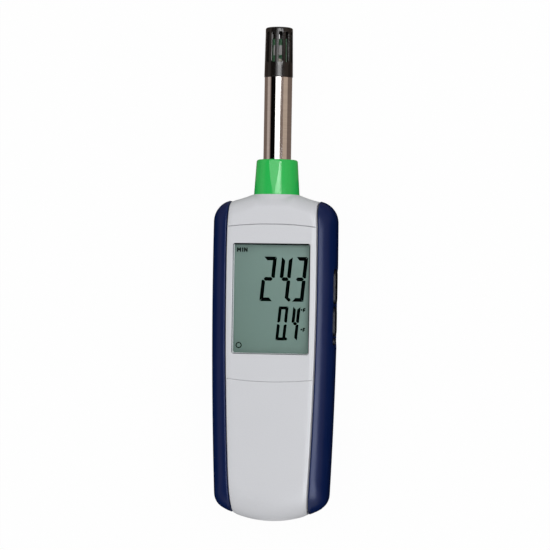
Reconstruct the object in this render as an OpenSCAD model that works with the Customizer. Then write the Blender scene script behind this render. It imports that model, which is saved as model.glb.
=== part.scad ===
// Handheld thermo-hygrometer with a steel probe and a slotted sensor cap.
// Millimetres. It lies on its back: Z is up out of the display, Y runs to the probe tip,
// and the side keys are on +X. Inside the modules Y is counted from the foot of the case.

/* [Case] */
// Largest width of the case over the side grips
case_w = 64; // [60:0.5:70]
// Thickness of the case
case_t = 30; // [28:0.5:34]
// Length of the case from the foot to the collar
case_l = 167.2; // [166:0.2:176]
// Height of the parting line over the back
split_z = 15; // [14:0.5:16]
// Radius of the rounded foot, seen from the front
foot_r = 53.4; // [48:0.2:62]
// Radius of the corners beside the foot
foot_corner_r = 8.5; // [7:0.1:10]
// Radius of the long bowed sides
side_r = 2500; // [1800:50:4000]
// Distance from the foot to the widest place
widest_y = 125; // [115:1:135]
// Radius of the upper corners
top_corner_r = 11; // [9:0.1:12]
// Radius of the hollow shoulders beside the collar
shoulder_r = 60; // [50:1:90]
// Slope of the shoulders where they reach the collar, in degrees
neck_slope = 23; // [20:0.5:26]
// Length over which the neck flares out to the front and the back
flare_l = 10; // [8:0.5:12]
// Width of the flare where it meets the front and the back
flare_w = 36; // [30:1:44]
// Wall thickness of the shells
wall = 1.6; // [1.4:0.1:2]
// Thickness of the front wall, which carries the display
front_wall = 3.4; // [3.2:0.1:3.8]
// Thickness of the lip inside the parting line
lip_t = 0.8; // [0.6:0.1:1]
// Height of the lip over the parting line
lip_h = 1.2; // [0.8:0.1:1.6]

/* [Edge rounding] */
// How far the front rounding reaches in from the sides
front_round_side = 10; // [9:0.1:11]
// How far the front rounding reaches in from the foot
front_round_foot = 15; // [12:0.5:17]
// How far the front rounding reaches in from the shoulders
front_round_top = 7; // [6:0.5:8]
// Depth of the front rounding
front_round_z = 12; // [10:0.5:13]
// How far the back rounding reaches in from the sides
back_round_side = 7.5; // [6.5:0.1:8.5]
// How far the back rounding reaches in from the foot
back_round_foot = 10; // [8:0.5:12]
// How far the back rounding reaches in from the shoulders
back_round_top = 6; // [5:0.5:7]
// Depth of the back rounding
back_round_z = 13; // [11:0.5:14]

/* [Side grips] */
// Thickness of the side grips
grip_t = 1.8; // [1.6:0.1:2]
// Width of each grip seen from the front, at the widest place
grip_front = 8.6; // [8.2:0.1:9.2]
// How far the grips' upper ends stand above the grey shoulders
grip_proud = 0.4; // [0.2:0.1:0.6]
// Radius of the edge between the front and the grips
panel_edge_r = 2000; // [1600:50:3000]
// Width of the groove between the front and the grips
groove_w = 0.6; // [0.4:0.1:0.8]
// Radius of the pegs that hold the grips
peg_r = 1.5; // [1.2:0.1:1.8]
// Length of the pegs
peg_l = 1.2; // [0.8:0.1:1.3]

/* [Display] */
// Distance from the foot to the lower edge of the display panel, at the middle
bezel_y0 = 71.9; // [70:0.1:73]
// Distance from the shoulders' end to the upper edge of the display panel, at the middle
bezel_top = 15.4; // [15.2:0.1:17]
// How much the panel's ends bow outwards
bezel_bow = 1.5; // [1:0.1:2.5]
// Thickness of the display panel
bezel_t = 1.6; // [1.5:0.1:1.8]
// Width of the display panel beside the window
window_side = 3.5; // [3.2:0.1:4.4]
// Width of the display panel below the window
window_low = 13.9; // [12:0.1:16]
// Width of the display panel above the window
window_top = 9.7; // [9:0.1:12]
// Thickness of the clear lens
lens_t = 0.8; // [0.6:0.1:0.9]
// How far the lens reaches under the panel
lens_lip = 0.6; // [0.5:0.1:0.8]
// Thickness of the display glass
lcd_t = 2.2; // [1.8:0.1:2.4]
// Thickness of the frame round the display glass
lcd_frame_t = 1.2; // [1:0.1:1.3]
// Width of the two conductive rubber strips
zebra_w = 2; // [1.6:0.1:2.4]

/* [Probe] */
// Outer diameter of the probe tube
tube_d = 14.4; // [13:0.1:15]
// Wall of the probe tube
tube_wall = 0.8; // [0.7:0.1:1]
// Step in the tube's radius where the collar and the case hold it
tube_step = 0.3; // [0.2:0.05:0.4]
// Length of tube that shows between the collar and the cap
tube_shown = 42.3; // [35:0.5:60]
// Length of tube inside the case
tube_inside = 13; // [12:0.5:14]
// Length of the collar over the case
collar_l = 18; // [15:0.5:22]
// Width of the collar where it meets the case
collar_base_w = 23.4; // [22.6:0.1:24]
// Diameter of the collar at its top
collar_top_d = 21.3; // [20:0.1:22]
// Rounding of the collar's top edge
collar_edge = 1.2; // [0.8:0.1:1.6]
// Corner radius of the collar's foot
collar_corner_r = 7.5; // [6:0.5:9]
// How deep the collar sits in the case
collar_seat = 4.5; // [4:0.1:5]
// Thickness of the retaining ring on the tube
ring_t = 1.5; // [1.2:0.1:1.6]
// Radial width of the retaining ring
ring_w = 1.6; // [1.2:0.1:2]

/* [Sensor cap] */
// Length of the slotted cap
cap_l = 25.5; // [22:0.5:30]
// Diameter of the cap at its foot
cap_base_d = 14.8; // [14.6:0.1:15]
// Diameter of the cap at its tip
cap_tip_d = 14; // [13.4:0.1:14.4]
// Thickness of the cap's closed end
cap_end_t = 1.5; // [1.2:0.1:2]
// Rounding of the cap's tip
cap_edge = 0.8; // [0.5:0.1:1.2]
// Number of slots round the cap
slot_count = 12; // [8:1:14]
// Width of each slot
slot_w = 1.8; // [1.2:0.1:2]
// Length of each slot
slot_l = 15.6; // [10:0.2:16]
// Distance from the cap's tip to the slots
slot_from_tip = 2.4; // [2:0.1:3]
// Length of the spigot that the cap pushes on to
spigot_l = 6; // [4:0.5:7]
// Length of the sensor board past the spigot
sensor_board_l = 14; // [10:0.5:16]
// Width of the sensor board
sensor_board_w = 8; // [6:0.5:9]

/* [Side keys] */
// Distance from the foot to the lower end of the upper key
upper_key_y0 = 111.6; // [111.2:0.1:112.4]
// Length of the upper key
upper_key_l = 17.9; // [15:0.1:18.5]
// Distance from the foot to the lower end of the lower key
lower_key_y0 = 95.2; // [95:0.1:96]
// Length of the lower key
lower_key_l = 15; // [12:0.1:15.2]
// Distance from the foot to the round power key
power_key_y = 92.4; // [92:0.1:92.6]
// Diameter of the power key
power_key_d = 3.6; // [3.5:0.1:4]
// Width of the long keys across the case
key_w = 7; // [6:0.1:7.4]
// Depth of the rounding along the keys' edges
key_round_x = 0.6; // [0.4:0.1:0.8]
// How far the rounding reaches in from the keys' edges
key_round_in = 1.6; // [1:0.1:1.7]
// Depth of the pocket round the keys
pocket_depth = 1.3; // [0.8:0.1:1.4]
// Margin of the pocket beside the keys
pocket_side = 4.5; // [3.8:0.1:5]
// Margin of the pocket past the keys' ends
pocket_end = 1.5; // [1:0.1:1.8]
// Corner radius of the pocket
pocket_corner_r = 5; // [4:0.5:7]
// How far a key travels when it is pressed
key_travel = 0.5; // [0.3:0.05:0.6]
// Width of the flange behind each key
key_flange = 0.7; // [0.5:0.1:0.8]

/* [Circuit boards] */
// Thickness of the circuit boards
board_t = 1.6; // [1:0.1:1.6]
// Distance from the side of the case to the main board
board_side = 11.5; // [11.4:0.1:13]
// How far the main board ends above the display panel's lower edge
board_low = 2.1; // [1.6:0.1:3]
// How far the main board reaches past the display panel's upper edge
board_high = 0.6; // [0.2:0.1:0.8]
// Diameter of the sounder on the main board
buzzer_d = 12; // [9:0.5:14]
// Height of the sounder
buzzer_h = 4; // [3:0.5:6]

/* [Battery] */
// Width of the battery
battery_w = 26.2; // [25.5:0.1:26.5]
// Thickness of the battery
battery_t = 17; // [16.5:0.1:17.2]
// Length of the battery
battery_l = 48.5; // [47:0.1:48.8]
// Distance from the side of the case to the battery door
door_side = 13.5; // [13:0.1:14.5]
// Distance from the foot to the upper edge of the battery door
door_y1 = 64; // [63.5:0.1:64.5]
// Height of the door's edge on the foot
door_foot_z = 8; // [7:0.5:10]
// Thickness of the door
door_t = 2; // [1.8:0.1:2.2]
// Width of the tongues along the door's sides
tongue_w = 1.2; // [0.8:0.1:1.5]
// Thickness of the tongues
tongue_t = 0.9; // [0.7:0.1:1]

/* [Screws and clearances] */
// Shank diameter of the case screws
screw_d = 2.6; // [2.2:0.1:3]
// Head diameter of the case screws
screw_head_d = 5; // [4.4:0.1:5.4]
// Head height of the case screws
screw_head_h = 1.8; // [1.4:0.1:2.2]
// Wall round the case screws
boss_wall = 1.4; // [1.2:0.1:1.6]
// Gap round parts that move
gap = 0.3; // [0.25:0.05:0.35]
// Gap between parts that are fixed together
fit = 0.1; // [0.05:0.05:0.2]
// Radial gap of the cap on its spigot
slide_fit = 0.05; // [0.03:0.01:0.08]

/* [Colours] */
// Grey of the case
grey = "#cfd0d2"; // [#cfd0d2, #e2e3e4, #b4b6ba]
// Blue of the grips
navy = "#1b2a55"; // [#1b2a55, #20242c, #264a7a]
// Green of the collar
green = "#48b860"; // [#48b860, #2f9be0, #e0902f]

/* [Hidden] */

half_w = case_w / 2;
panel_hw = half_w - grip_front;
overall_l = case_l + collar_l + tube_shown + cap_l;
foot_y = -overall_l / 2;
axis_z = case_t / 2;
core_in = grip_t + fit;
cavity_in = core_in + wall;
flare_wall = 0.3;
far = 400;
tiny = 0.01;

// Places of the display panel, its window and the glass and board behind it
bezel_y1 = case_l - bezel_top;
window_hw = panel_hw - window_side;
window_y0 = bezel_y0 + window_low;
window_y1 = bezel_y1 - window_top;
window_lip = 0.5;
lcd_margin = 0.9;
lcd_ledge = 3.6;
lcd_hw = window_hw + lcd_margin;
lcd_y0 = window_y0 - lcd_ledge;
lcd_y1 = window_y1 + lcd_ledge;
board_hw = half_w - board_side;
board_y0 = bezel_y0 + board_low;
board_y1 = bezel_y1 + board_high;
board_mid = (board_y0 + board_y1) / 2;

// Heights of what is stacked under the display, from the front down
bezel_z = case_t - bezel_t;
lens_z = bezel_z + fit / 2;
cavity_z = case_t - front_wall;
lcd_z = cavity_z - 2 * fit - lcd_t;
lcd_step = 0.6;
zebra_h = 3;
board_z = lcd_z - zebra_h - board_t;

// Places along the probe
collar_y0 = case_l - collar_seat;
collar_y1 = case_l + collar_l;
tube_y0 = case_l - tube_inside;
tube_y1 = collar_y1 + tube_shown;
tube_r = tube_d / 2;
tube_ir = tube_r - tube_wall;
seat_r = tube_r - tube_step;
spigot_r = tube_ir - slide_fit;
rib_t = 3;
rib_y = collar_y0 - fit - rib_t;
ring_y = rib_y - fit - ring_t;

// Places of the side keys, as [lower end, upper end]
upper_key_span = [upper_key_y0, upper_key_y0 + upper_key_l];
lower_key_span = [lower_key_y0, lower_key_y0 + lower_key_l];
power_key_span = [power_key_y - power_key_d / 2, power_key_y + power_key_d / 2];
key_spans = [upper_key_span, lower_key_span, power_key_span];
key_widths = [key_w, key_w, power_key_d];
pocket_y0 = power_key_span[0] - pocket_end;
pocket_y1 = upper_key_span[1] + pocket_end;
pocket_w = key_w + 2 * pocket_side;
inner_x = half_w - cavity_in;
flange_x1 = inner_x - gap - 2 * fit;
flange_t = 1;
flange_end = 0.4;
switch_top_x = flange_x1 - flange_t - key_travel - fit;
plunger_l = 0.9;
plunger_r = 1.4;
switch_h = 2.6;
switch_l = 4.2;
switch_w = 6;
key_board_x = switch_top_x - plunger_l - switch_h - board_t;

// Battery bay, from the door inwards
bay_z0 = door_t + gap;
battery_z = bay_z0 + gap;
bay_hw = battery_w / 2 + gap;
bay_y0 = 8.6;
battery_y = bay_y0 + gap;
snap_t = 4;
stud_d = 6;
stud_h = 1.4;
stud_x = 6.35;
bay_y1 = battery_y + battery_l + snap_t + 2 * gap;
bay_z1 = battery_z + battery_t + gap;
bay_wall = 1.2;
door_hw = half_w - door_side;
door_rim = 4;
tongue_y0 = 14;
tongue_end = 3;

// Screw places
boss_r = screw_d / 2 + boss_wall;
web_t = 1.2;
web_past = 0.8;
case_screw_x = panel_hw - screw_head_d / 2 - 2.3;
case_screws_at = [[case_screw_x, door_y1 + gap + boss_r + 2.8],
    [case_screw_x, board_y1 + gap + boss_r + web_past]];
post_r = 2.4;
post_gap = 2.5;
board_screws_at = [[board_hw - post_r - 0.6, board_y0 + post_r + 0.6],
    [case_screw_x - boss_r - post_gap - post_r, board_y1 - post_r - 0.4]];
board_screw_d = 2;
board_screw_l = 6;
board_screw_head_d = 4;
board_screw_head_h = 1.2;
pilot_l = 8;
screw_head_z = 1.5;

// Grip pegs, clear of the keys
peg_y = [24, 52, 78, case_l - 21.2];
peg_z = [axis_z - 4, axis_z + 4];
peg_taper = 0.3;

// The outline of the case, as arcs that meet smoothly

function unit(v) = v / norm(v);
function meet(c1, r1, c2, r2, side) =
    let (d = norm(c2 - c1), u = unit(c2 - c1), a = (r1 * r1 - r2 * r2 + d * d) / (2 * d))
    c1 + a * u + side * sqrt(r1 * r1 - a * a) * [-u[1], u[0]];
function angle_of(v) = atan2(v[1], v[0]);
function arc(c, r, a0, a1, n) =
    [for (i = [0:n - 1]) let (a = a0 + (a1 - a0) * i / n) c + r * [cos(a), sin(a)]];
function mirrored(points) = [for (i = [len(points) - 1:-1:0]) [-points[i][0], points[i][1]]];

neck_hw = collar_base_w / 2;
foot_c = [0, foot_r];
side_c = [half_w - side_r, widest_y];
foot_corner_c = meet(foot_c, foot_r - foot_corner_r, side_c, side_r - foot_corner_r, 1);
shoulder_c = [neck_hw, case_l] + shoulder_r * [sin(neck_slope), cos(neck_slope)];
top_corner_c = meet(side_c, side_r - top_corner_r, shoulder_c, shoulder_r + top_corner_r, -1);
foot_end_a = angle_of(foot_corner_c - foot_c);
side_low_a = angle_of(foot_corner_c - side_c);
side_top_a = angle_of(top_corner_c - side_c);
shoulder_a = angle_of(shoulder_c - top_corner_c);

half_outline = concat(
    arc(foot_c, foot_r, -90, foot_end_a, 5),
    arc(foot_corner_c, foot_corner_r, foot_end_a, side_low_a, 5),
    arc(side_c, side_r, side_low_a, side_top_a, 4),
    arc(top_corner_c, top_corner_r, side_top_a, shoulder_a, 5),
    arc(shoulder_c, shoulder_r, shoulder_a + 180, 270 - neck_slope, 3),
    [[neck_hw, case_l]]);
outline = concat(half_outline, mirrored([for (i = [1:len(half_outline) - 1]) half_outline[i]]));

// Levels of the form: how much of the rounding is left there, and whether it is the back's
round_steps = 5;
back_levels = [for (i = [0:round_steps]) [90 * i / round_steps, true]];
front_levels = [for (i = [round_steps:-1:0]) [90 * i / round_steps, false]];
levels = concat(back_levels, front_levels);

function level_z(level, dz_back, dz_front) = level[1]
    ? dz_back + (back_round_z - dz_back) * (1 - cos(level[0]))
    : case_t - dz_front - (front_round_z - dz_front) * (1 - cos(level[0]));

// The outline drawn in at its sides, foot and top
function drawn_in(side, foot, top) = let (sx = (half_w - side) / half_w, sy = (case_l - foot - top) / case_l)
    [for (p = outline) [p[0] * sx, foot + p[1] * sy]];

// One level of the form. Its roundings shrink as it is drawn in, so walls keep their thickness
function ring(level, inset, dz_back, dz_front, drop) = let (
        left = 1 - sin(level[0]),
        side = inset + left * ((level[1] ? back_round_side : front_round_side) - inset),
        foot = inset + left * ((level[1] ? back_round_foot : front_round_foot) - inset),
        top = inset + drop + left * ((level[1] ? back_round_top : front_round_top) - inset),
        z = level_z(level, dz_back, dz_front))
    [for (p = drawn_in(side, foot, top)) [p[0], p[1], z]];

// The rounded form of the case, drawn in by inset round its outline. Its top end is lowered by drop,
// or raised by it where drop is negative
module skin(inset, dz_back, dz_front, drop = 0) {
    n = len(outline);
    points = [for (level = levels) each ring(level, inset, dz_back, dz_front, drop)];
    rows = len(levels);
    sides = [for (k = [0:rows - 2], i = [0:n - 1]) let (j = (i + 1) % n)
        each [[k * n + i, (k + 1) * n + i, (k + 1) * n + j], [k * n + i, (k + 1) * n + j, k * n + j]]];
    bottom = [for (i = [0:n - 1]) i];
    top = [for (i = [n - 1:-1:0]) (rows - 1) * n + i];
    polyhedron(points, concat([bottom], sides, [top]), convexity = 6);
}

// The upright stretch of a wall between two insets
module wall_ring(outer, inner, z0, z1) translate([0, 0, z0]) linear_extrude(z1 - z0) difference() {
    polygon(drawn_in(outer, outer, outer));
    polygon(drawn_in(inner, inner, inner));
}

// Half width of the case at a distance from the foot, on its bowed side
function side_x(y) = half_w - side_r + sqrt(pow(side_r, 2) - pow(y - widest_y, 2));

// Half width of the grey front at a distance from the foot
function panel_edge(y) = panel_hw - panel_edge_r + sqrt(pow(panel_edge_r, 2) - pow(y - widest_y, 2));

function round_rect(w, h, r, n = 6) = [
    for (q = [0:3], i = [0:n]) let (
        a = 90 * (q + i / n),
        cx = (q == 0 || q == 3) ? w / 2 - r : r - w / 2,
        cy = (q < 2) ? h / 2 - r : r - h / 2)
    [cx + r * cos(a), cy + r * sin(a)]];

module placed() translate([0, foot_y, 0]) children();
module block(x0, x1, y0, y1, z0, z1) translate([x0, y0, z0]) cube([x1 - x0, y1 - y0, z1 - z0]);
module both_sides() {
    children();
    mirror([1, 0, 0]) children();
}
// A round bar along Y
module rod_y(r, y0, y1) translate([0, y1, 0]) rotate([90, 0, 0]) cylinder(r = r, h = y1 - y0);
// A rounded bar along X, between two distances from the foot
module bar_x(x0, x1, span, w, r) translate([x0, (span[0] + span[1]) / 2, axis_z])
    rotate([90, 0, 90]) linear_extrude(x1 - x0) polygon(round_rect(span[1] - span[0], w, r));

// The side zone that a grip covers, drawn in by margin
module grip_zone(margin) {
    steps = 12;
    edge = [for (i = [0:steps]) let (y = -5 + (case_l + 10) * i / steps) [panel_edge(y) + margin, y]];
    translate([0, 0, -1]) linear_extrude(case_t + 2)
        polygon(concat(edge, [[half_w + 5, case_l + 5], [half_w + 5, -5]]));
}

module collar_form(extra) {
    base = collar_base_w + 2 * extra;
    hull() {
        translate([0, collar_y0, axis_z]) rotate([-90, 0, 0])
            linear_extrude(collar_seat + 2) polygon(round_rect(base, base, collar_corner_r + extra));
        for (a = [0, 45, 90]) translate([0, 0, axis_z])
            rod_y(collar_top_d / 2 - collar_edge * (1 - cos(a)) + extra, collar_y0,
                collar_y1 - collar_edge * (1 - sin(a)), $fn = 48);
    }
}

// The neck, which flares from the collar's foot into the front and the back
module neck_flare() hull() for (end = [0, 1]) let (
        w = end == 0 ? collar_base_w + 2 * flare_wall : flare_w,
        h = end == 0 ? collar_base_w + 2 * flare_wall : case_t)
    translate([0, case_l - end * flare_l, axis_z]) rotate([90, 0, 0])
        linear_extrude(flare_wall) polygon(round_rect(w, h, collar_corner_r));

// Everything that both shells share
module case_form() difference() {
    union() {
        skin(0, 0, 0);
        neck_flare();
    }
    difference() {
        both_sides() grip_zone(-groove_w / 2);
        skin(core_in, core_in, core_in);
    }
}

module neck_opening() translate([0, collar_y0 - fit, axis_z]) rotate([-90, 0, 0]) linear_extrude(far)
    polygon(round_rect(collar_base_w + 2 * fit, collar_base_w + 2 * fit, collar_corner_r));

module key_holes(extra) for (i = [0:2])
    bar_x(inner_x - 3, half_w + 5, key_spans[i] + extra * [-1, 1], key_widths[i] + 2 * extra,
        key_widths[i] / 2 + extra - tiny);

module peg_holes() both_sides() for (y = peg_y, z = peg_z)
    translate([half_w - core_in - peg_l - 3 * fit, y, z]) rotate([0, 90, 0])
        cylinder(r = peg_r + fit, h = peg_l + 5, $fn = 12);

// A screw post with a web to the side wall and one across it
module boss(at, z0, z1) {
    translate([at[0], at[1], z0]) cylinder(r = boss_r, h = z1 - z0, $fn = 16);
    block(at[0], half_w - cavity_in, at[1] - web_t / 2, at[1] + web_t / 2, z0, z1);
    block(at[0] - web_t / 2, at[0] + web_t / 2,
        at[1] - boss_r - web_past, at[1] + boss_r + web_past, z0, z1);
}

module neck_rib(z0, z1) difference() {
    block(-18, 18, rib_y, rib_y + rib_t, z0, z1);
    translate([0, 0, axis_z]) rod_y(seat_r + fit, rib_y - 1, rib_y + rib_t + 1, $fn = 32);
}

module bezel_form(extra, z0, z1) {
    steps = 12;
    y_mid = (bezel_y0 + bezel_y1) / 2;
    function end_y(y, sign, x) = y + sign * (extra - bezel_bow * pow(x / panel_hw, 2));
    low = [for (i = [0:steps]) let (
        x = (panel_edge(bezel_y0) - groove_w / 2 - fit) * (2 * i / steps - 1) + extra * sign(i - steps / 2))
        [x, end_y(bezel_y0, -1, x)]];
    high = [for (i = [steps:-1:0]) let (
        x = (panel_edge(bezel_y1) - groove_w / 2 - fit) * (2 * i / steps - 1) + extra * sign(i - steps / 2))
        [x, end_y(bezel_y1, 1, x)]];
    bulge = panel_edge(y_mid) - groove_w / 2 - fit + extra;
    translate([0, 0, z0]) linear_extrude(z1 - z0)
        polygon(concat(low, [[bulge, y_mid]], high, [[-bulge, y_mid]]));
}

module window_cut(extra, z0, z1, r) translate([0, (window_y0 + window_y1) / 2, z0])
    linear_extrude(z1 - z0)
        polygon(round_rect(2 * (window_hw + extra), window_y1 - window_y0 + 2 * extra, r));

module front_shell() color(grey) placed() difference() {
    intersection() {
        case_form();
        block(-far, far, -far, far, split_z + fit / 2, far);
    }
    difference() {
        skin(cavity_in, cavity_in, front_wall);
        neck_rib(split_z + fit / 2, case_t);
        both_sides() for (at = case_screws_at) boss(at, split_z + fit / 2, case_t);
    }
    neck_opening();
    translate([0, 0, axis_z]) rod_y(seat_r + fit, rib_y - 1, case_l + 1, $fn = 32);
    bezel_form(fit, bezel_z - fit / 2, far);
    window_cut(-window_lip, 0, far, 1);
    key_holes(gap);
    peg_holes();
    both_sides() for (at = case_screws_at) translate(at)
        cylinder(r = screw_d / 2 + fit, h = cavity_z - 1, $fn = 16);
    wall_ring(cavity_in - lip_t - fit, cavity_in + 0.2, split_z - 1, split_z + lip_h + fit);
}

// The bay that holds the battery, open towards the door
module battery_bay() difference() {
    block(-bay_hw - bay_wall, bay_hw + bay_wall,
        bay_y0 - bay_wall, bay_y1 + bay_wall, bay_z0, bay_z1 + bay_wall);
    block(-bay_hw, bay_hw, bay_y0, bay_y1, -1, bay_z1);
    block(-2 * lead_x, 2 * lead_x, bay_y1 - 1, bay_y1 + bay_wall + 1,
        lead_z - 2 * lead_r, lead_z + 2 * lead_r);
}

module door_opening() {
    block(-door_hw - gap, door_hw + gap, -1, door_y1 + gap, -1, bay_z0);
    block(-door_hw - gap, door_hw + gap, -1, bay_y0 - bay_wall, -1, door_foot_z + gap);
    block(-door_hw - tongue_w - gap, door_hw + tongue_w + gap, -1, door_y1 - tongue_end + gap,
        door_t - tongue_t - gap, bay_z0);
}

module rear_shell() color(grey) placed() {
    difference() {
        union() {
            difference() {
                union() {
                    intersection() {
                        case_form();
                        block(-far, far, -far, far, -far, split_z - fit / 2);
                    }
                    wall_ring(cavity_in - lip_t, cavity_in - fit, split_z - 1, split_z + lip_h);
                }
                difference() {
                    skin(cavity_in, wall + 0.6, cavity_in);
                    neck_rib(0, split_z - fit / 2);
                    both_sides() {
                        block(bay_hw, door_hw + door_rim, 0, door_y1 + 2.5, 0, bay_z0 + bay_wall);
                        block(-1, door_hw + door_rim, bay_y1, door_y1 + 2.5, 0, bay_z0 + bay_wall);
                        block(-1, door_hw + door_rim, 0, bay_y0, 0, door_foot_z + gap + bay_wall);
                        for (at = case_screws_at) boss(at, 0, split_z);
                    }
                }
                neck_opening();
                key_holes(gap);
                peg_holes();
            }
            battery_bay();
            both_sides() for (at = board_screws_at) translate([at[0], at[1], 1])
                cylinder(r = post_r, h = board_z - 1, $fn = 16);
            key_board_guides();
        }
        block(-bay_hw, bay_hw, bay_y0, bay_y1, -1, bay_z1);
        door_opening();
        both_sides() for (at = case_screws_at) translate([at[0], at[1], -1]) {
            cylinder(r = screw_d / 2 + fit, h = far, $fn = 16);
            cylinder(r = screw_head_d / 2 + fit, h = screw_head_z + screw_head_h + 1 + fit, $fn = 20);
        }
        both_sides() for (at = board_screws_at) translate([at[0], at[1], board_z - pilot_l])
            cylinder(r = board_screw_d / 2 + fit, h = far, $fn = 16);
    }
}

key_board_y0 = pocket_y0 - 2;
key_board_y1 = pocket_y1 + 1;
key_board_hw = 6.5;
key_board_z0 = axis_z - key_board_hw;
key_board_z1 = min(axis_z + key_board_hw, board_z + board_t - 0.5);
guide_t = 1.3;
guide_l = 1.5;

// Two slotted posts that hold the key board upright
module key_board_guides() for (y = [key_board_y0, key_board_y1]) difference() {
    block(key_board_x - guide_t, key_board_x + board_t + guide_t, y - guide_l, y + guide_l, 1, split_z - fit);
    block(key_board_x - fit, key_board_x + board_t + fit, key_board_y0 - fit, key_board_y1 + fit,
        key_board_z0 - fit, far);
}

module grip_body() difference() {
    intersection() {
        grip_zone(groove_w / 2);
        skin(0, 0, 0, -grip_proud);
    }
    skin(grip_t, grip_t, grip_t);
}

// Tapered pegs on the inside of a grip
module grip_pegs() intersection() {
    for (y = peg_y, z = peg_z) hull() {
        translate([half_w - grip_t - 0.6, y, z]) rotate([0, 90, 0]) cylinder(r = peg_r, h = 1.2, $fn = 12);
        translate([half_w - core_in - peg_l, y, z]) rotate([0, 90, 0])
            cylinder(r = peg_r - peg_taper, h = 0.4, $fn = 12);
    }
    skin(0.6, 1, 1);
}

module left_grip() color(navy) placed() mirror([1, 0, 0]) {
    grip_body();
    grip_pegs();
}

module right_grip() color(navy) placed() {
    difference() {
        grip_body();
        bar_x(half_w - pocket_depth, half_w + 5, [pocket_y0, pocket_y1], pocket_w, pocket_corner_r);
        key_holes(gap);
    }
    grip_pegs();
}

module display_bezel() color(grey) placed() difference() {
    intersection() {
        bezel_form(0, bezel_z, case_t + 1);
        skin(0, 0, 0);
    }
    window_cut(0, bezel_z - 1, far, 1.2);
    window_cut(lens_lip + fit, bezel_z - 1, lens_z + lens_t + fit / 2, 1.6);
}

module window_lens() color("#d8e4e4", 0.4) placed() window_cut(lens_lip, lens_z, lens_z + lens_t, 1.5);

module lcd_glass() color("#71887e") placed() block(-lcd_hw, lcd_hw, lcd_y0, lcd_y1, lcd_z, lcd_z + lcd_t);

module lcd_frame() color("#202326") placed() difference() {
    block(-lcd_hw - lcd_frame_t, lcd_hw + lcd_frame_t, lcd_y0 - lcd_frame_t, lcd_y1 + lcd_frame_t,
        board_z + board_t, lcd_z + lcd_t - lcd_step);
    block(-lcd_hw - fit, lcd_hw + fit, lcd_y0 - fit, lcd_y1 + fit, lcd_z, far);
    block(1 - lcd_hw, lcd_hw - 1, lcd_y0, lcd_y1, 0, far);
}

module zebra_strips() color("#303030") placed() for (y = [lcd_y0 + fit, lcd_y1 - zebra_w - fit])
    block(2 - lcd_hw, lcd_hw - 2, y, y + zebra_w, board_z + board_t, lcd_z);

module main_board() color("#1f6b3a") placed() difference() {
    block(-board_hw, board_hw, board_y0, board_y1, board_z, board_z + board_t);
    both_sides() for (at = board_screws_at) translate([at[0], at[1], board_z - 1])
        cylinder(d = board_screw_d + 4 * fit, h = board_t + 2, $fn = 24);
}

// Chips under the main board, as [x, y, width, length, height]
low_row = board_y0 + 18;
left_row = board_y0 + 22;
high_row = board_y1 - 24.4;
chips = [[-1, board_mid - 1.2, 12, 12, 1.6], [-13, left_row, 5, 6, 1.4], [10, low_row, 8, 5, 1.5],
    [12, high_row, 4, 9, 3.2]];

module board_chips() color("#17181a") placed() for (c = chips)
    block(c[0] - c[2] / 2, c[0] + c[2] / 2, c[1] - c[3] / 2, c[1] + c[3] / 2, board_z - c[4], board_z);

buzzer_at = [7.3 - board_hw, high_row];
buzzer_hole_d = 2;

module buzzer() color("#101010") placed() translate([buzzer_at[0], buzzer_at[1], board_z - buzzer_h])
    difference() {
        cylinder(d = buzzer_d, h = buzzer_h, $fn = 48);
        translate([0, 0, -1]) cylinder(d = buzzer_hole_d, h = 2, $fn = 24);
    }

module board_screws() color("#b9bcc0") placed() both_sides() for (at = board_screws_at)
    translate([at[0], at[1], board_z]) {
        translate([0, 0, -board_screw_l]) cylinder(d = board_screw_d, h = board_screw_l + board_t, $fn = 24);
        translate([0, 0, board_t]) cylinder(d = board_screw_head_d, h = board_screw_head_h, $fn = 24);
    }

module key_board() color("#1f6b3a") placed()
    block(key_board_x, key_board_x + board_t, key_board_y0, key_board_y1, key_board_z0, key_board_z1);

module key_switches() color("#8a8d90") placed() for (s = key_spans) {
    y = (s[0] + s[1]) / 2;
    x = key_board_x + board_t;
    block(x, x + switch_h, y - switch_l / 2, y + switch_l / 2, axis_z - switch_w / 2, axis_z + switch_w / 2);
    translate([x + switch_h, y, axis_z]) rotate([0, 90, 0]) cylinder(r = plunger_r, h = plunger_l, $fn = 24);
}

// A side key: a bar through the wall with a rounded face level with the grip, and its flange inside
module side_key(span, w) {
    face = side_x((span[0] + span[1]) / 2);
    hull() for (a = [0:30:90]) let (in = key_round_in * (1 - cos(a)))
        bar_x(flange_x1, face - key_round_x * (1 - sin(a)), span + in * [1, -1], w - 2 * in,
            w / 2 - in - tiny);
    bar_x(flange_x1 - flange_t, flange_x1, span + flange_end * [-1, 1], w + 2 * key_flange, w / 2 - tiny);
}

module upper_key() color("#15171c") placed() side_key(upper_key_span, key_w);
module lower_key() color("#15171c") placed() side_key(lower_key_span, key_w);
module power_key() color("#15171c") placed() side_key(power_key_span, power_key_d);

module probe_collar() color(green) placed() difference() {
    collar_form(0);
    translate([0, 0, axis_z]) rod_y(seat_r + slide_fit, collar_y0 - 1, collar_y1 + 1, $fn = 96);
}

// The tube, with a shoulder that rests on the collar
module probe_tube() color("#b8b2ac") placed() translate([0, 0, axis_z]) difference() {
    union() {
        rod_y(tube_r, collar_y1, tube_y1, $fn = 96);
        rod_y(seat_r, tube_y0, collar_y1 + 1, $fn = 96);
    }
    rod_y(tube_ir, tube_y0 - 1, tube_y1 + 1, $fn = 96);
}

module tube_ring() color("#9a9c9f") placed() translate([0, 0, axis_z]) difference() {
    rod_y(seat_r + ring_w, ring_y, ring_y + ring_t, $fn = 64);
    rod_y(seat_r + fit / 2, ring_y - 1, ring_y + ring_t + 1, $fn = 64);
    block(-ring_opening / 2, ring_opening / 2, ring_y - 1, ring_y + ring_t + 1, -far, 0);
}

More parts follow.
